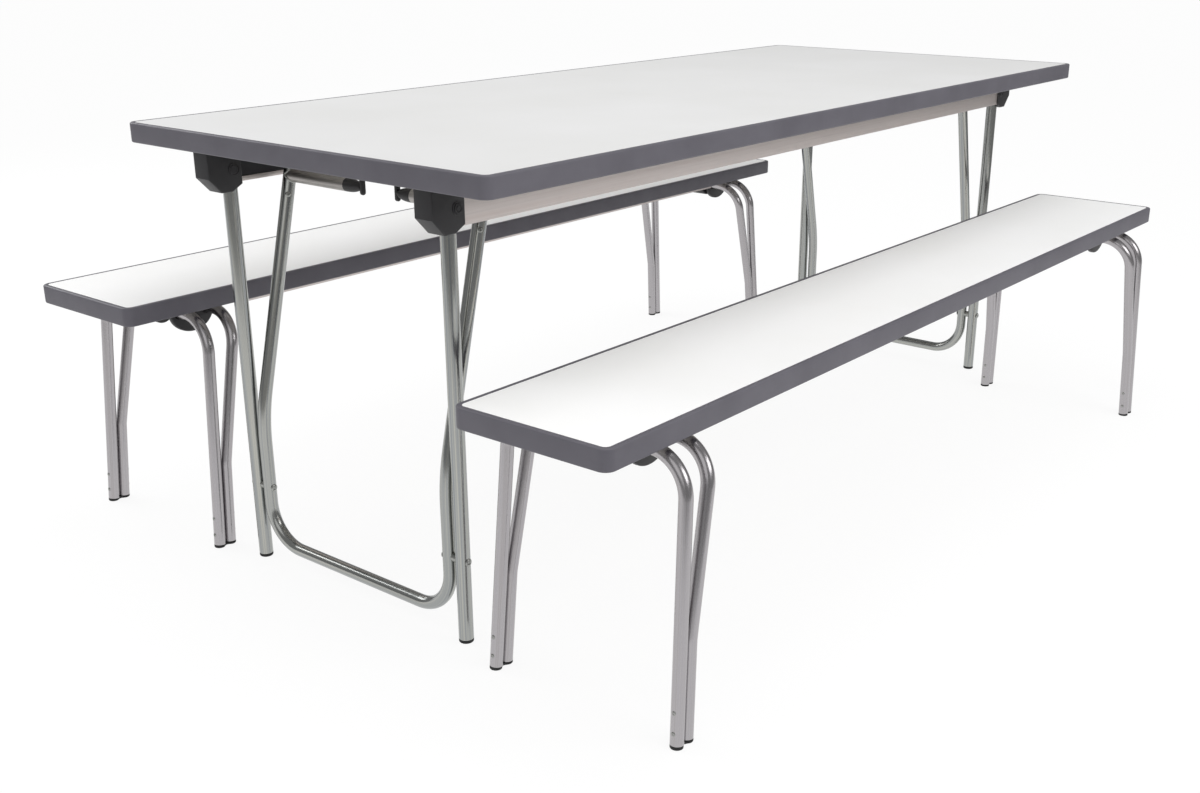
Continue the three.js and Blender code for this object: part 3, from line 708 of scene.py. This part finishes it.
# Rails and bench channels
def make_rail(name):
    low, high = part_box(f"{name}_rail")
    side = 1 if name == "left" else -1
    inner, outer = sorted((abs(low.y), abs(high.y)))
    web = outer - RAIL_WEB
    bead = outer - RAIL_BEAD
    shelf = high.z - RAIL_FLANGE
    bead_top = low.z + RAIL_BEAD_HEIGHT
    outline = [(outer, low.z), (outer, high.z), (inner, high.z), (inner, shelf),
               (web, shelf), (web, bead_top), (bead, bead_top), (bead, low.z)]
    bm = prism([(side * y, z) for y, z in outline], low.x, high.x)
    for face in bm.faces:
        # The inner face of each rail's web takes the painted shade material, which darkens it as the shade
        # under the board would
        face.material_index = 1 if abs(abs(face.calc_center_median().y) - web) < FIT else 0
    finish_mesh(f"{name}_rail_section", bm, [section_aluminium, rail_inner_painted_shade], "table",
                [f"{name}_rail"])


def make_channel(bench):
    node = f"{bench}_channel"
    low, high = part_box(node)
    left = high.y - CHANNEL_WALL
    right = low.y + CHANNEL_WALL
    ceiling = high.z - CHANNEL_WALL
    outline = [(high.y, high.z), (low.y, high.z), (low.y, low.z), (right, low.z),
               (right, ceiling), (left, ceiling), (left, low.z), (high.y, low.z)]
    finish_mesh(f"{node}_section", prism(outline, low.x, high.x), [section_aluminium], bench,
                [node])


# Corner brackets and pivot pins
def bracket_mesh():
    """A bracket with a slot for the leg, room for its swing, and a step round the rail."""
    low, high = bracket_box
    top = high.z
    bottom = top - BRACKET_DEPTH
    out = -leg_x - BRACKET_OUTBOARD
    into = -leg_x + BRACKET_INBOARD
    c = BRACKET_CORNER
    outline = [(out, top), (out, top - BRACKET_END_DEPTH), (-leg_x - BRACKET_BOTTOM_START, bottom),
               (-leg_x - BRACKET_BOTTOM_END, bottom), (into, top - BRACKET_NOSE_DEPTH)]
    outline += arc(into - c, top - c, c, c, 0, math.pi / 2, CORNER_STEPS)
    centred = Matrix.Translation((0, (low.y + high.y) / 2, 0))
    body = moved(plate([outline], high.y - low.y, BRACKET_EDGE), centred @ STANDING)
    past = into + CUT_PAST
    under = top - CUT_BELOW
    over = top + CUT_ABOVE
    slot_low = leg_y - LEG_RADIUS - SLOT_PLAY
    slot_high = leg_y + LEG_RADIUS + SLOT_PLAY
    leg_head = leg_top - pivot_z
    swing = math.hypot(LEG_RADIUS, leg_head) + SWING_ROOM
    drop = leg_head + SWING_ROOM
    slot = brick(-leg_x - LEG_RADIUS - FIT, past, slot_low, slot_high, under, pivot_z + swing)
    relief = brick(-leg_x - swing, past, slot_low, slot_high, pivot_z - drop, pivot_z + swing)
    rail_low, rail_high = rail_box
    rail_end = rail_low.x - table_centre.x - FIT
    outside = rail_high.y + FIT
    web = brick(rail_end, past, rail_high.y - RAIL_BEAD - FIT, outside, under, over)
    flange = brick(rail_end, past, rail_low.y - FIT, outside, rail_high.z - RAIL_FLANGE - FIT, over)
    bore = PIN_HEAD + SLOT_PLAY
    collar = [(bore, 0), (COLLAR_RADIUS, 0), (COLLAR_RADIUS, COLLAR_HEIGHT - COLLAR_EDGE),
              (COLLAR_RADIUS - COLLAR_EDGE, COLLAR_HEIGHT), (bore, COLLAR_HEIGHT)]
    collars = [turned(collar, (-leg_x, y, pivot_z), (0, way, 0), ring=True)
               for y, way in ((low.y, -1), (high.y, 1))]
    return joined(carve(body, [slot, relief, web, flange]), *collars)


def make_corner(end, name, side, bracket):
    corner = f"{end}_{name}"
    place = end_matrix(table_centre, end, side)
    finish_mesh(f"{corner}_bracket_moulding", moved(bracket.copy(), place), [black_plastic], "table",
                [f"{corner}_bracket"])
    inner_face = bracket_box[0].y
    outer_face = bracket_box[1].y
    cap = pin_box[1].y - outer_face
    groove = cap - PIN_GROOVE_DEPTH
    profile = [(PIN_HEAD, 0), (PIN_HEAD, cap - PIN_EDGE), (PIN_HEAD - PIN_EDGE, cap), (PIN_GROOVE_OUTER, cap),
               (PIN_GROOVE_OUTER - PIN_GROOVE_SLOPE, groove), (PIN_GROOVE_INNER + PIN_GROOVE_SLOPE, groove),
               (PIN_GROOVE_INNER, cap), (PIN_EYE, cap)]
    outer = turned(profile, (-leg_x, outer_face, pivot_z), (0, 1, 0))
    profile = [(PIN_HEAD, 0), (PIN_HEAD, PIN_INNER_EDGE),
               (PIN_HEAD - PIN_INNER_EDGE, inner_face - pin_box[0].y)]
    inner = turned(profile, (-leg_x, inner_face, pivot_z), (0, -1, 0))
    shank = turned([(PIN_SHANK, 0), (PIN_SHANK, outer_face - inner_face)], (-leg_x, inner_face, pivot_z),
                   (0, 1, 0))
    finish_mesh(f"{corner}_pivot_boss", moved(joined(outer, inner, shank), place), [black_plastic], "table",
                [f"{corner}_pivot_pin"])


# Table legs, feet and pivot rivets
def make_leg(end, name, side):
    corner = f"{end}_{name}"
    legs = f"{end}_legs"
    place = end_matrix(table_centre, end, side)
    ends = [Vector((-leg_x, leg_y, FOOT_HEIGHT)), Vector((-leg_x, leg_y, leg_top))]
    finish_mesh(f"{corner}_leg_tube", moved(tube(bent_path(ends, []), LEG_RADIUS), place), [zinc], legs,
                [f"{corner}_leg"])
    profile = quarter(LEG_RADIUS - FOOT_ROUND, FOOT_ROUND, FOOT_ROUND, 270)
    profile += [(LEG_RADIUS, FOOT_HEIGHT - FOOT_LIP), (LEG_RADIUS - FOOT_LIP_INSET, FOOT_HEIGHT),
                (FOOT_PLUG_RADIUS, FOOT_HEIGHT), (FOOT_PLUG_RADIUS, FOOT_HEIGHT + FOOT_PLUG)]
    foot = turned(profile, (-leg_x, leg_y, 0), (0, 0, 1))
    finish_mesh(f"{corner}_foot_cap", moved(foot, place), [foot_rubber], legs,
                [f"{corner}_foot"])
    brace_outside = brace_y + BRACE_RADIUS
    gap = leg_y - LEG_RADIUS - brace_outside
    head = dome(PIVOT_RIVET_RADIUS, PIVOT_RIVET_HEIGHT, PIVOT_RIVET_RIM)
    spacer = [(SPACER_RADIUS, 0), (SPACER_RADIUS, gap + 2 * SPACER_SINK)]
    parts = [turned(head, (-leg_x, brace_y - BRACE_RADIUS, rivet_z), (0, -1, 0)),
             turned(head, (-leg_x, leg_y + LEG_RADIUS, rivet_z), (0, 1, 0)),
             turned(spacer, (-leg_x, brace_outside - SPACER_SINK, rivet_z), (0, 1, 0))]
    finish_mesh(f"{corner}_pivot_rivet", moved(joined(*parts), place), [weld_zinc], legs,
                [f"{corner}_rivet"])


# Braces with their stubs, plugs and release tabs
def stay_top(side):
    return Vector((-stub_x, side * brace_y, stub_z)) + rise * BRACE_RADIUS


def saddle(angle, radius):
    """Point of the stub's coped end on the stay, at an angle round the stub."""
    x = radius * math.cos(angle)
    z = radius * math.sin(angle)
    across = x * rise.z - z * rise.x
    depth = math.sqrt(max(BRACE_RADIUS ** 2 - across ** 2, 0))
    return Vector((-stub_x + x, brace_y - depth, stub_z + z))


def stub_mesh():
    """A stub tube from the stay to its plug, in the second material."""
    bore = BRACE_RADIUS - TUBE_WALL
    rings = []
    lengths = []
    for radius, flat in ((BRACE_RADIUS, True), (BRACE_RADIUS, False), (bore, False), (bore, True),
                         (BRACE_RADIUS, True)):
        ring = []
        for angle in circle(TUBE_SIDES):
            point = saddle(angle, radius)
            if flat:
                point.y = STUB_END
            ring.append(point)
        rings.append(ring)
        lengths.append(0.0 if flat else brace_y - STUB_END)
    bm = merged(skin(rings, closed_ends=False, uv_lengths=lengths))
    for face in bm.faces:
        face.material_index = 1
    return bm


def weld_mesh():
    """A bead laid round the stub where it meets the stay."""
    points = [saddle(angle, BRACE_RADIUS) for angle in circle(2 * TUBE_SIDES)]
    tangents = []
    for before, after in zip(points[-1:] + points[:-1], points[1:] + points[:1]):
        tangents.append((after - before).normalized())
    rings = []
    normal = tangents[0].orthogonal().normalized()
    for k, (point, tangent) in enumerate(zip(points, tangents)):
        normal = (normal - tangent * normal.dot(tangent)).normalized()
        across = tangent.cross(normal)
        size = WELD_RADIUS * (1 + WELD_RIPPLE * math.sin(k * 2 * math.pi / WELD_RIPPLE_STEPS))
        spokes = [normal * math.cos(a) + across * math.sin(a) for a in circle(WELD_SIDES)]
        rings.append([point + spoke * size for spoke in spokes])
    return merged(skin(rings + rings[:1], closed_ends=False), BEAD_MERGE_DISTANCE)


def make_stub_fittings(corner, body, place, side):
    finish_mesh(f"{corner}_stub_weld", moved(weld_mesh(), place), [weld_zinc], body)
    below = Vector((-stub_x, brace_y, stub_z)) - rise * STAY_RIVET_DROP
    outward = Vector((STAY_RIVET_FACING[0], STAY_RIVET_FACING[1] * side, 0))
    outward = (outward - rise * outward.dot(rise)).normalized()
    head = dome(STAY_RIVET_RADIUS, STAY_RIVET_HEIGHT, RIVET_SINK)
    rivet = turned(head, below + outward * (BRACE_RADIUS - RIVET_SINK), outward)
    finish_mesh(f"{corner}_stay_rivet", moved(rivet, place), [weld_zinc], body)
    length = STUB_END - plug_end
    bore = ROD_RADIUS + SLOT_PLAY
    profile = [(bore, -PLUG_SPIGOT), (SPIGOT_RADIUS, -PLUG_SPIGOT), (SPIGOT_RADIUS, 0)]
    for step in range(2 * ROUND_STEPS + 1):
        share = step / (2 * ROUND_STEPS)
        profile.append((BRACE_RADIUS - PLUG_TAPER * share ** PLUG_CURVE, length * share))
    profile.append((bore, length))
    plug = turned(profile, (-stub_x, STUB_END, stub_z), (0, -1, 0), ring=True)
    finish_mesh(f"{corner}_stub_cap", moved(plug, place), [black_plastic], body,
                [f"{corner}_stub_plug"])


def make_tab(corner, place):
    low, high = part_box(f"{corner}_release_tab")
    inner, outer = sorted((abs(low.y), abs(high.y)))
    half = TAB_HALF_WIDTH
    r = TAB_CORNER
    outline = arc(half - r, TAB_ABOVE - r, r, r, 0, math.pi / 2, ROUND_STEPS)
    outline += arc(-half + r, TAB_ABOVE - r, r, r, math.pi / 2, math.pi, ROUND_STEPS)
    outline += arc(0, half - TAB_BELOW, half, half, math.pi, 2 * math.pi, 2 * ROUND_STEPS)
    shift = Matrix.Translation((-stub_x, inner + TAB_THICKNESS / 2, stub_z))
    finger = moved(plate([outline], TAB_THICKNESS, TAB_EDGE), shift @ STANDING)
    rod = turned([(ROD_RADIUS, 0), (ROD_RADIUS, outer - inner - TAB_THICKNESS)],
                 (-stub_x, inner + TAB_THICKNESS, stub_z), (0, 1, 0))
    finish_mesh(f"{corner}_release_finger", moved(joined(finger, rod), place), [black_plastic],
                f"{corner}_tab", [f"{corner}_release_tab"])


def make_brace(end):
    body = f"{end}_brace"
    left = [Vector((-leg_x, brace_y, z)) for z in (BRACE_CREASE, BRACE_BAR_HEIGHT)]
    right = [Vector((-leg_x, -brace_y, z)) for z in (BRACE_BAR_HEIGHT, BRACE_CREASE)]
    corners = [stay_top(1), *left, *right, stay_top(-1)]
    crease = (BRACE_CREASE_BEND, CREASE_STEPS)
    bend = (BRACE_BEND, BEND_STEPS)
    bar = tube(bent_path(corners, [crease, bend, bend, crease]), BRACE_RADIUS)
    stubs = [moved(stub_mesh(), Matrix.Diagonal((1, side, 1, 1))) for side in (1, -1)]
    finish_mesh(f"{end}_brace_tube", moved(joined(bar, *stubs), end_matrix(table_centre, end)),
                [zinc, stub_zinc], body, [body])
    for name, side in ENDS[end][1].items():
        place = end_matrix(table_centre, end, side)
        make_stub_fittings(f"{end}_{name}", body, place, side)
        make_tab(f"{end}_{name}", place)


# Bench leg frames, shoes and seat brackets
def bench_leg_point(offset, side, height, foot_x):
    y = side * (BENCH_FOOT_Y - BENCH_SPLAY * height)
    return Vector((-foot_x + offset + BENCH_LEAN * height, y, height))


def shoe_outline(radius):
    """A peanut outline round both tubes, as (x, y) points about the outer tube's axis."""
    span = BENCH_TUBE_SPACING
    shares = [k / SHOE_STEPS for k in range(1, SHOE_STEPS)]
    waist = [radius - SHOE_WAIST * math.sin(math.pi * share) ** 2 for share in shares]
    points = arc(span, 0, radius, radius, -math.pi / 2, math.pi / 2, SHOE_STEPS)
    points += [(span * (1 - share), y) for share, y in zip(shares, waist)]
    points += arc(0, 0, radius, radius, math.pi / 2, 1.5 * math.pi, SHOE_STEPS)
    points += [(span * share, -y) for share, y in zip(shares, waist)]
    return points


def shoe_mesh(foot_x):
    radius = BENCH_TUBE_RADIUS
    levels = [(h * SHOE_ROUND, radius - inset * SHOE_ROUND, tilt) for h, inset, tilt in SHOE_LOW_LEVELS]
    levels += [(SHOE_HEIGHT - SHOE_EDGE, radius, 1), (SHOE_HEIGHT, radius - SHOE_EDGE, 1)]
    rings = []
    for z, r, tilt in levels:
        centre = bench_leg_point(0, 1, z, foot_x)
        ring = []
        for x, y in shoe_outline(r):
            ring.append(centre + Vector((x, y, tilt * (BENCH_SPLAY * y - BENCH_LEAN * x))))
        rings.append(ring)
    return skin(rings)


def bore_loop(x, radius):
    return arc(x, 0, radius, radius, 0, 2 * math.pi, BORE_SIDES)[:-1]


def seat_bracket_loops(top):
    """Outline and bore of a seat bracket about the inner bar, with X outboard."""
    bore = BENCH_TUBE_RADIUS + SLOT_PLAY
    outboard = BENCH_BAR_SPACING + SEAT_BRACKET_OUTBOARD
    lobe_end = math.radians(SEAT_BRACKET_LOBE_END)
    wall_angle = math.radians(SEAT_BRACKET_WALL_ANGLE)
    lobe = SEAT_BRACKET_LOBE
    wall = BENCH_BAR_SPACING - bore
    outline = [(-lobe, top)]
    outline += arc(0, 0, lobe, lobe, math.pi, 2 * math.pi - lobe_end, LOBE_STEPS)
    outline += arc(0, 0, wall, wall, -wall_angle, 0, WALL_STEPS)
    outline += arc(BENCH_BAR_SPACING, 0, bore, bore, math.pi, 0, SEAT_STEPS)[1:]
    outline += [(outboard, 0), (outboard, top)]
    return [outline, bore_loop(0, bore)]


def keeper_loop():
    """Outline of the half-round keeper hung under the middle of the outer bar."""
    rx, ry = KEEPER_SIZE
    cx, cy = KEEPER_CENTRE
    bore = BENCH_TUBE_RADIUS + CHEEK_FIT
    level = math.asin((-KEEPER_DROP - cy) / ry)
    hold = math.asin(KEEPER_DROP / bore)
    outline = arc(cx, cy, rx, ry, -math.pi - level, level, KEEPER_STEPS)
    return outline + arc(BENCH_BAR_SPACING, 0, bore, bore, -hold, hold - math.pi, SEAT_STEPS)


def cheek_loops():
    """Outline and bores of the oval cheek clamped on both bars; it clears the seat as it turns."""
    rx, ry = CHEEK_SIZE
    cx, cy = CHEEK_CENTRE
    turn = CHEEK_TURN_RADIUS
    bore = BENCH_TUBE_RADIUS + CHEEK_FIT
    shoulder = math.asin((turn - cy) / ry)
    heel = math.asin((CHEEK_TURN_DEPTH + cy) / ry)
    outline = arc(cx, cy, rx, ry, shoulder, heel - math.pi, CHEEK_STEPS)
    outline += arc(0, 0, turn, turn, math.pi, math.pi / 2, CHEEK_TURN_STEPS)
    return [outline, bore_loop(0, bore), bore_loop(BENCH_BAR_SPACING, bore)]


def leg_rivet_mesh(foot_x):
    """Rivet heads on the outboard and inboard tubes of one bench leg."""
    head = dome(LEG_RIVET_RADIUS, LEG_RIVET_HEIGHT + RIVET_SINK, LEG_RIVET_RIM)
    seat = BENCH_TUBE_RADIUS - RIVET_SINK
    heads = []
    for height in LEG_RIVET_HEIGHTS:
        for offset, way in ((0, -1), (BENCH_TUBE_SPACING, 1)):
            at = bench_leg_point(offset, 1, height, foot_x) + Vector((way * seat, 0, 0))
            heads.append(turned(head, at, (way, 0, 0)))
    return joined(*heads)


def make_bench_legs(bench, end, centre, inner_bar, bar_z):
    legs = f"{bench}_{end}_legs"
    place = end_matrix(centre, end)
    outer_bar = inner_bar + BENCH_BAR_SPACING
    foot_x = outer_bar + BENCH_LEAN * bar_z
    bar_y = BENCH_FOOT_Y - BENCH_SPLAY * bar_z
    bend = (BENCH_BEND, BEND_STEPS)
    crease = (BENCH_CREASE_BEND, CREASE_STEPS)

    def bar(x):
        return [Vector((-x, side * bar_y, bar_z)) for side in (1, -1)]

    def leg(offset, side, *heights):
        return [bench_leg_point(offset, side, height, foot_x) for height in heights]

    spacing = BENCH_TUBE_SPACING
    outer = leg(0, 1, SHOE_HEIGHT) + bar(outer_bar) + leg(0, -1, SHOE_HEIGHT)
    inner = (leg(spacing, 1, SHOE_HEIGHT, BENCH_CREASE) + bar(inner_bar)
             + leg(spacing, -1, BENCH_CREASE, SHOE_HEIGHT))
    for name, path in (("outer", bent_path(outer, [bend, bend])),
                       ("inner", bent_path(inner, [crease, bend, bend, crease]))):
        finish_mesh(f"{legs}_{name}_tube", moved(tube(path, BENCH_TUBE_RADIUS), place), [bench_aluminium],
                    legs, [f"{bench}_{end}_{name}_frame"])
    for name, side in ENDS[end][1].items():
        corner = f"{bench}_{end}_{name}"
        mirrored = end_matrix(centre, end, side)
        finish_mesh(f"{corner}_twin_shoe", moved(shoe_mesh(foot_x), mirrored), [foot_rubber], legs,
                    [f"{corner}_shoe"])
        finish_mesh(f"{corner}_leg_rivets", moved(leg_rivet_mesh(foot_x), mirrored), [weld_zinc], legs)


def make_bench_end(bench, end, centre):
    legs = f"{bench}_{end}_legs"
    node = f"{bench}_{end}_seat_bracket"
    low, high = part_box(node)
    bar_z = joint_place[f"{bench}_{end}_fold"].z
    inner_bar = abs(joint_place[f"{bench}_near_fold"].x - centre.x)
    make_bench_legs(bench, end, centre, inner_bar, bar_z)
    place = end_matrix(centre, end)
    upright = Matrix.Translation((-inner_bar, 0, bar_z)) @ Matrix.Diagonal((-1, 1, 1, 1)) @ STANDING
    inside = high.y - centre.y + CHEEK_GAP
    for name, side in ENDS[end][1].items():
        shift = Matrix.Translation((0, side * (inside + CHEEK_REACH) / 2, 0))
        cheek = plate(cheek_loops(), CHEEK_REACH - inside, CHEEK_EDGE)
        finish_mesh(f"{bench}_{end}_{name}_bar_cheek", moved(cheek, place @ shift @ upright), [black_plastic],
                    legs)
    keeper = plate([keeper_loop()], 2 * KEEPER_HALF_WIDTH, KEEPER_EDGE)
    finish_mesh(f"{bench}_{end}_bar_keeper", moved(keeper, place @ upright), [black_plastic], legs)
    bracket = plate(seat_bracket_loops(high.z - bar_z), high.y - low.y, SEAT_BRACKET_EDGE)
    finish_mesh(f"{node}_moulding", moved(bracket, place @ upright), [black_plastic], bench,
                [node])


# Assembly
make_board("table_board", "table_edge_trim", table_laminate)
make_trim("table_edge_trim")
for rail_name in ("left", "right"):
    make_rail(rail_name)
bracket_source = bracket_mesh()
for end_name, (_, sides) in ENDS.items():
    make_brace(end_name)
    for side_name, side_sign in sides.items():
        make_corner(end_name, side_name, side_sign, bracket_source)
        make_leg(end_name, side_name, side_sign)
bracket_source.free()
for bench_name in ("left_bench", "right_bench"):
    make_board(f"{bench_name}_board", f"{bench_name}_edge_trim", bench_laminate)
    make_trim(f"{bench_name}_edge_trim")
    make_channel(bench_name)
    bench_centre = middle(f"{bench_name}_board") * Vector((1, 1, 0))
    for end_name in ENDS:
        make_bench_end(bench_name, end_name, bench_centre)


# Floor, light and camera
def seen_directly(nodes, links):
    """One for camera, glossy and transmission rays, and nought for the light that falls on the object."""
    rays = nodes.new("ShaderNodeLightPath")
    total = rays.outputs["Is Camera Ray"]
    for name in ("Is Glossy Ray", "Is Transmission Ray"):
        either = nodes.new("ShaderNodeMath")
        either.operation = "MAXIMUM"
        links.new(total, either.inputs[0])
        links.new(rays.outputs[name], either.inputs[1])
        total = either.outputs[0]
    return total


def stage_material(name):
    """A material whose surface is still to be linked, with its nodes and links."""
    material = bpy.data.materials.new(name)
    material.use_nodes = True
    nodes = material.node_tree.nodes
    nodes.remove(nodes["Principled BSDF"])
    return material, nodes, material.node_tree.links


def make_floor():
    """A white floor that keeps the object's shadow and throws back less light than it shows."""
    bm = bmesh.new()
    bmesh.ops.create_grid(bm, x_segments=1, y_segments=1, size=FLOOR_SIZE)
    floor = linked("floor", mesh_of(bm, "floor"))
    material, nodes, links = stage_material("pale_floor")
    lit = nodes.new("ShaderNodeBsdfDiffuse")
    lit.inputs["Color"].default_value = (*FLOOR_SEEN, 1)
    bounce = nodes.new("ShaderNodeBsdfDiffuse")
    bounce.inputs["Color"].default_value = (*FLOOR_BOUNCE, 1)
    glow = nodes.new("ShaderNodeEmission")
    white = nodes.new("ShaderNodeMixShader")
    white.inputs[0].default_value = FLOOR_GLOW
    links.new(lit.outputs[0], white.inputs[1])
    links.new(glow.outputs[0], white.inputs[2])
    choice = nodes.new("ShaderNodeMixShader")
    links.new(seen_directly(nodes, links), choice.inputs[0])
    links.new(bounce.outputs[0], choice.inputs[1])
    links.new(white.outputs[0], choice.inputs[2])
    links.new(choice.outputs[0], nodes["Material Output"].inputs["Surface"])
    floor.data.materials.append(material)


def make_world():
    """Even light, and a backdrop as bright as the floor at the horizon."""
    horizon = FLOOR_GLOW + (1 - FLOOR_GLOW) * FLOOR_SEEN[0] * WORLD_LIGHT
    world = bpy.data.worlds.new("studio")
    bpy.context.scene.world = world
    world.use_nodes = True
    nodes = world.node_tree.nodes
    links = world.node_tree.links
    mix = nodes.new("ShaderNodeMix")
    mix.data_type = "RGBA"
    links.new(seen_directly(nodes, links), mix.inputs["Factor"])
    mix.inputs["A"].default_value = (WORLD_LIGHT, WORLD_LIGHT, WORLD_LIGHT, 1)
    mix.inputs["B"].default_value = (horizon, horizon, horizon, 1)
    links.new(mix.outputs["Result"], nodes["Background"].inputs["Color"])


def make_room():
    """A dim room that only reflections show: walls, ceiling and the floor beyond a round of lit floor."""
    square = []
    lit = []
    for angle in circle(ROOM_SIDES):
        x = math.cos(angle)
        y = math.sin(angle)
        reach = ROOM_HALF / max(abs(x), abs(y))
        square.append((x * reach, y * reach))
        lit.append((LIT_FLOOR_CENTRE[0] + x * LIT_FLOOR_RADIUS, LIT_FLOOR_CENTRE[1] + y * LIT_FLOOR_RADIUS))
    bm = skin([[Vector((*p, CARD_HEIGHT)) for p in lit], [Vector((*p, CARD_HEIGHT)) for p in square],
               [Vector((*p, ROOM_HEIGHT)) for p in square]], closed_ends=False)
    bm.faces.new([bm.verts.new((*p, ROOM_HEIGHT)) for p in square])
    room = linked("dim_room", mesh_of(bm, "dim_room"))
    material, nodes, links = stage_material("dim_room")
    glow = nodes.new("ShaderNodeEmission")
    glow.inputs["Strength"].default_value = ROOM_LEVEL
    links.new(glow.outputs[0], nodes["Material Output"].inputs["Surface"])
    room.data.materials.append(material)
    for ray in ("camera", "diffuse", "transmission", "volume_scatter", "shadow"):
        setattr(room, f"visible_{ray}", False)


def make_lamp(name, place, target, size, power):
    data = bpy.data.lights.new(name, "AREA")
    data.shape = "RECTANGLE"
    data.size, data.size_y = size
    data.energy = power
    lamp = linked(name, data)
    lamp.location = place
    lamp.rotation_mode = "QUATERNION"
    lamp.rotation_quaternion = (Vector(target) - Vector(place)).to_track_quat("-Z", "Y")
    lamp.visible_camera = False


def make_camera():
    data = bpy.data.cameras.new("camera")
    data.sensor_width = SENSOR_WIDTH
    data.lens = FOCAL_PIXELS * SENSOR_WIDTH / IMAGE_WIDTH
    data.shift_x = (IMAGE_WIDTH / 2 - PRINCIPAL_PIXEL[0]) / IMAGE_WIDTH
    data.shift_y = (PRINCIPAL_PIXEL[1] - IMAGE_HEIGHT / 2) / IMAGE_WIDTH
    data.clip_end = CAMERA_REACH
    camera = linked("camera", data)
    a = math.radians(CAMERA_AZIMUTH)
    e = math.radians(CAMERA_ELEVATION)
    back = Vector((math.sin(a) * math.cos(e), -math.cos(a) * math.cos(e), math.sin(e)))
    right = Vector((math.cos(a), math.sin(a), 0))
    turn = Matrix((right, back.cross(right), back)).transposed().to_4x4()
    roll = Matrix.Rotation(math.radians(CAMERA_ROLL), 4, "Z")
    camera.matrix_world = Matrix.Translation(CAMERA_PLACE) @ turn @ roll
    bpy.context.scene.camera = camera


make_floor()
make_world()
make_room()
for lamp_name, lamp_settings in LAMPS.items():
    make_lamp(lamp_name, *lamp_settings)
make_camera()
bpy.context.scene.view_settings.view_transform = "Standard"
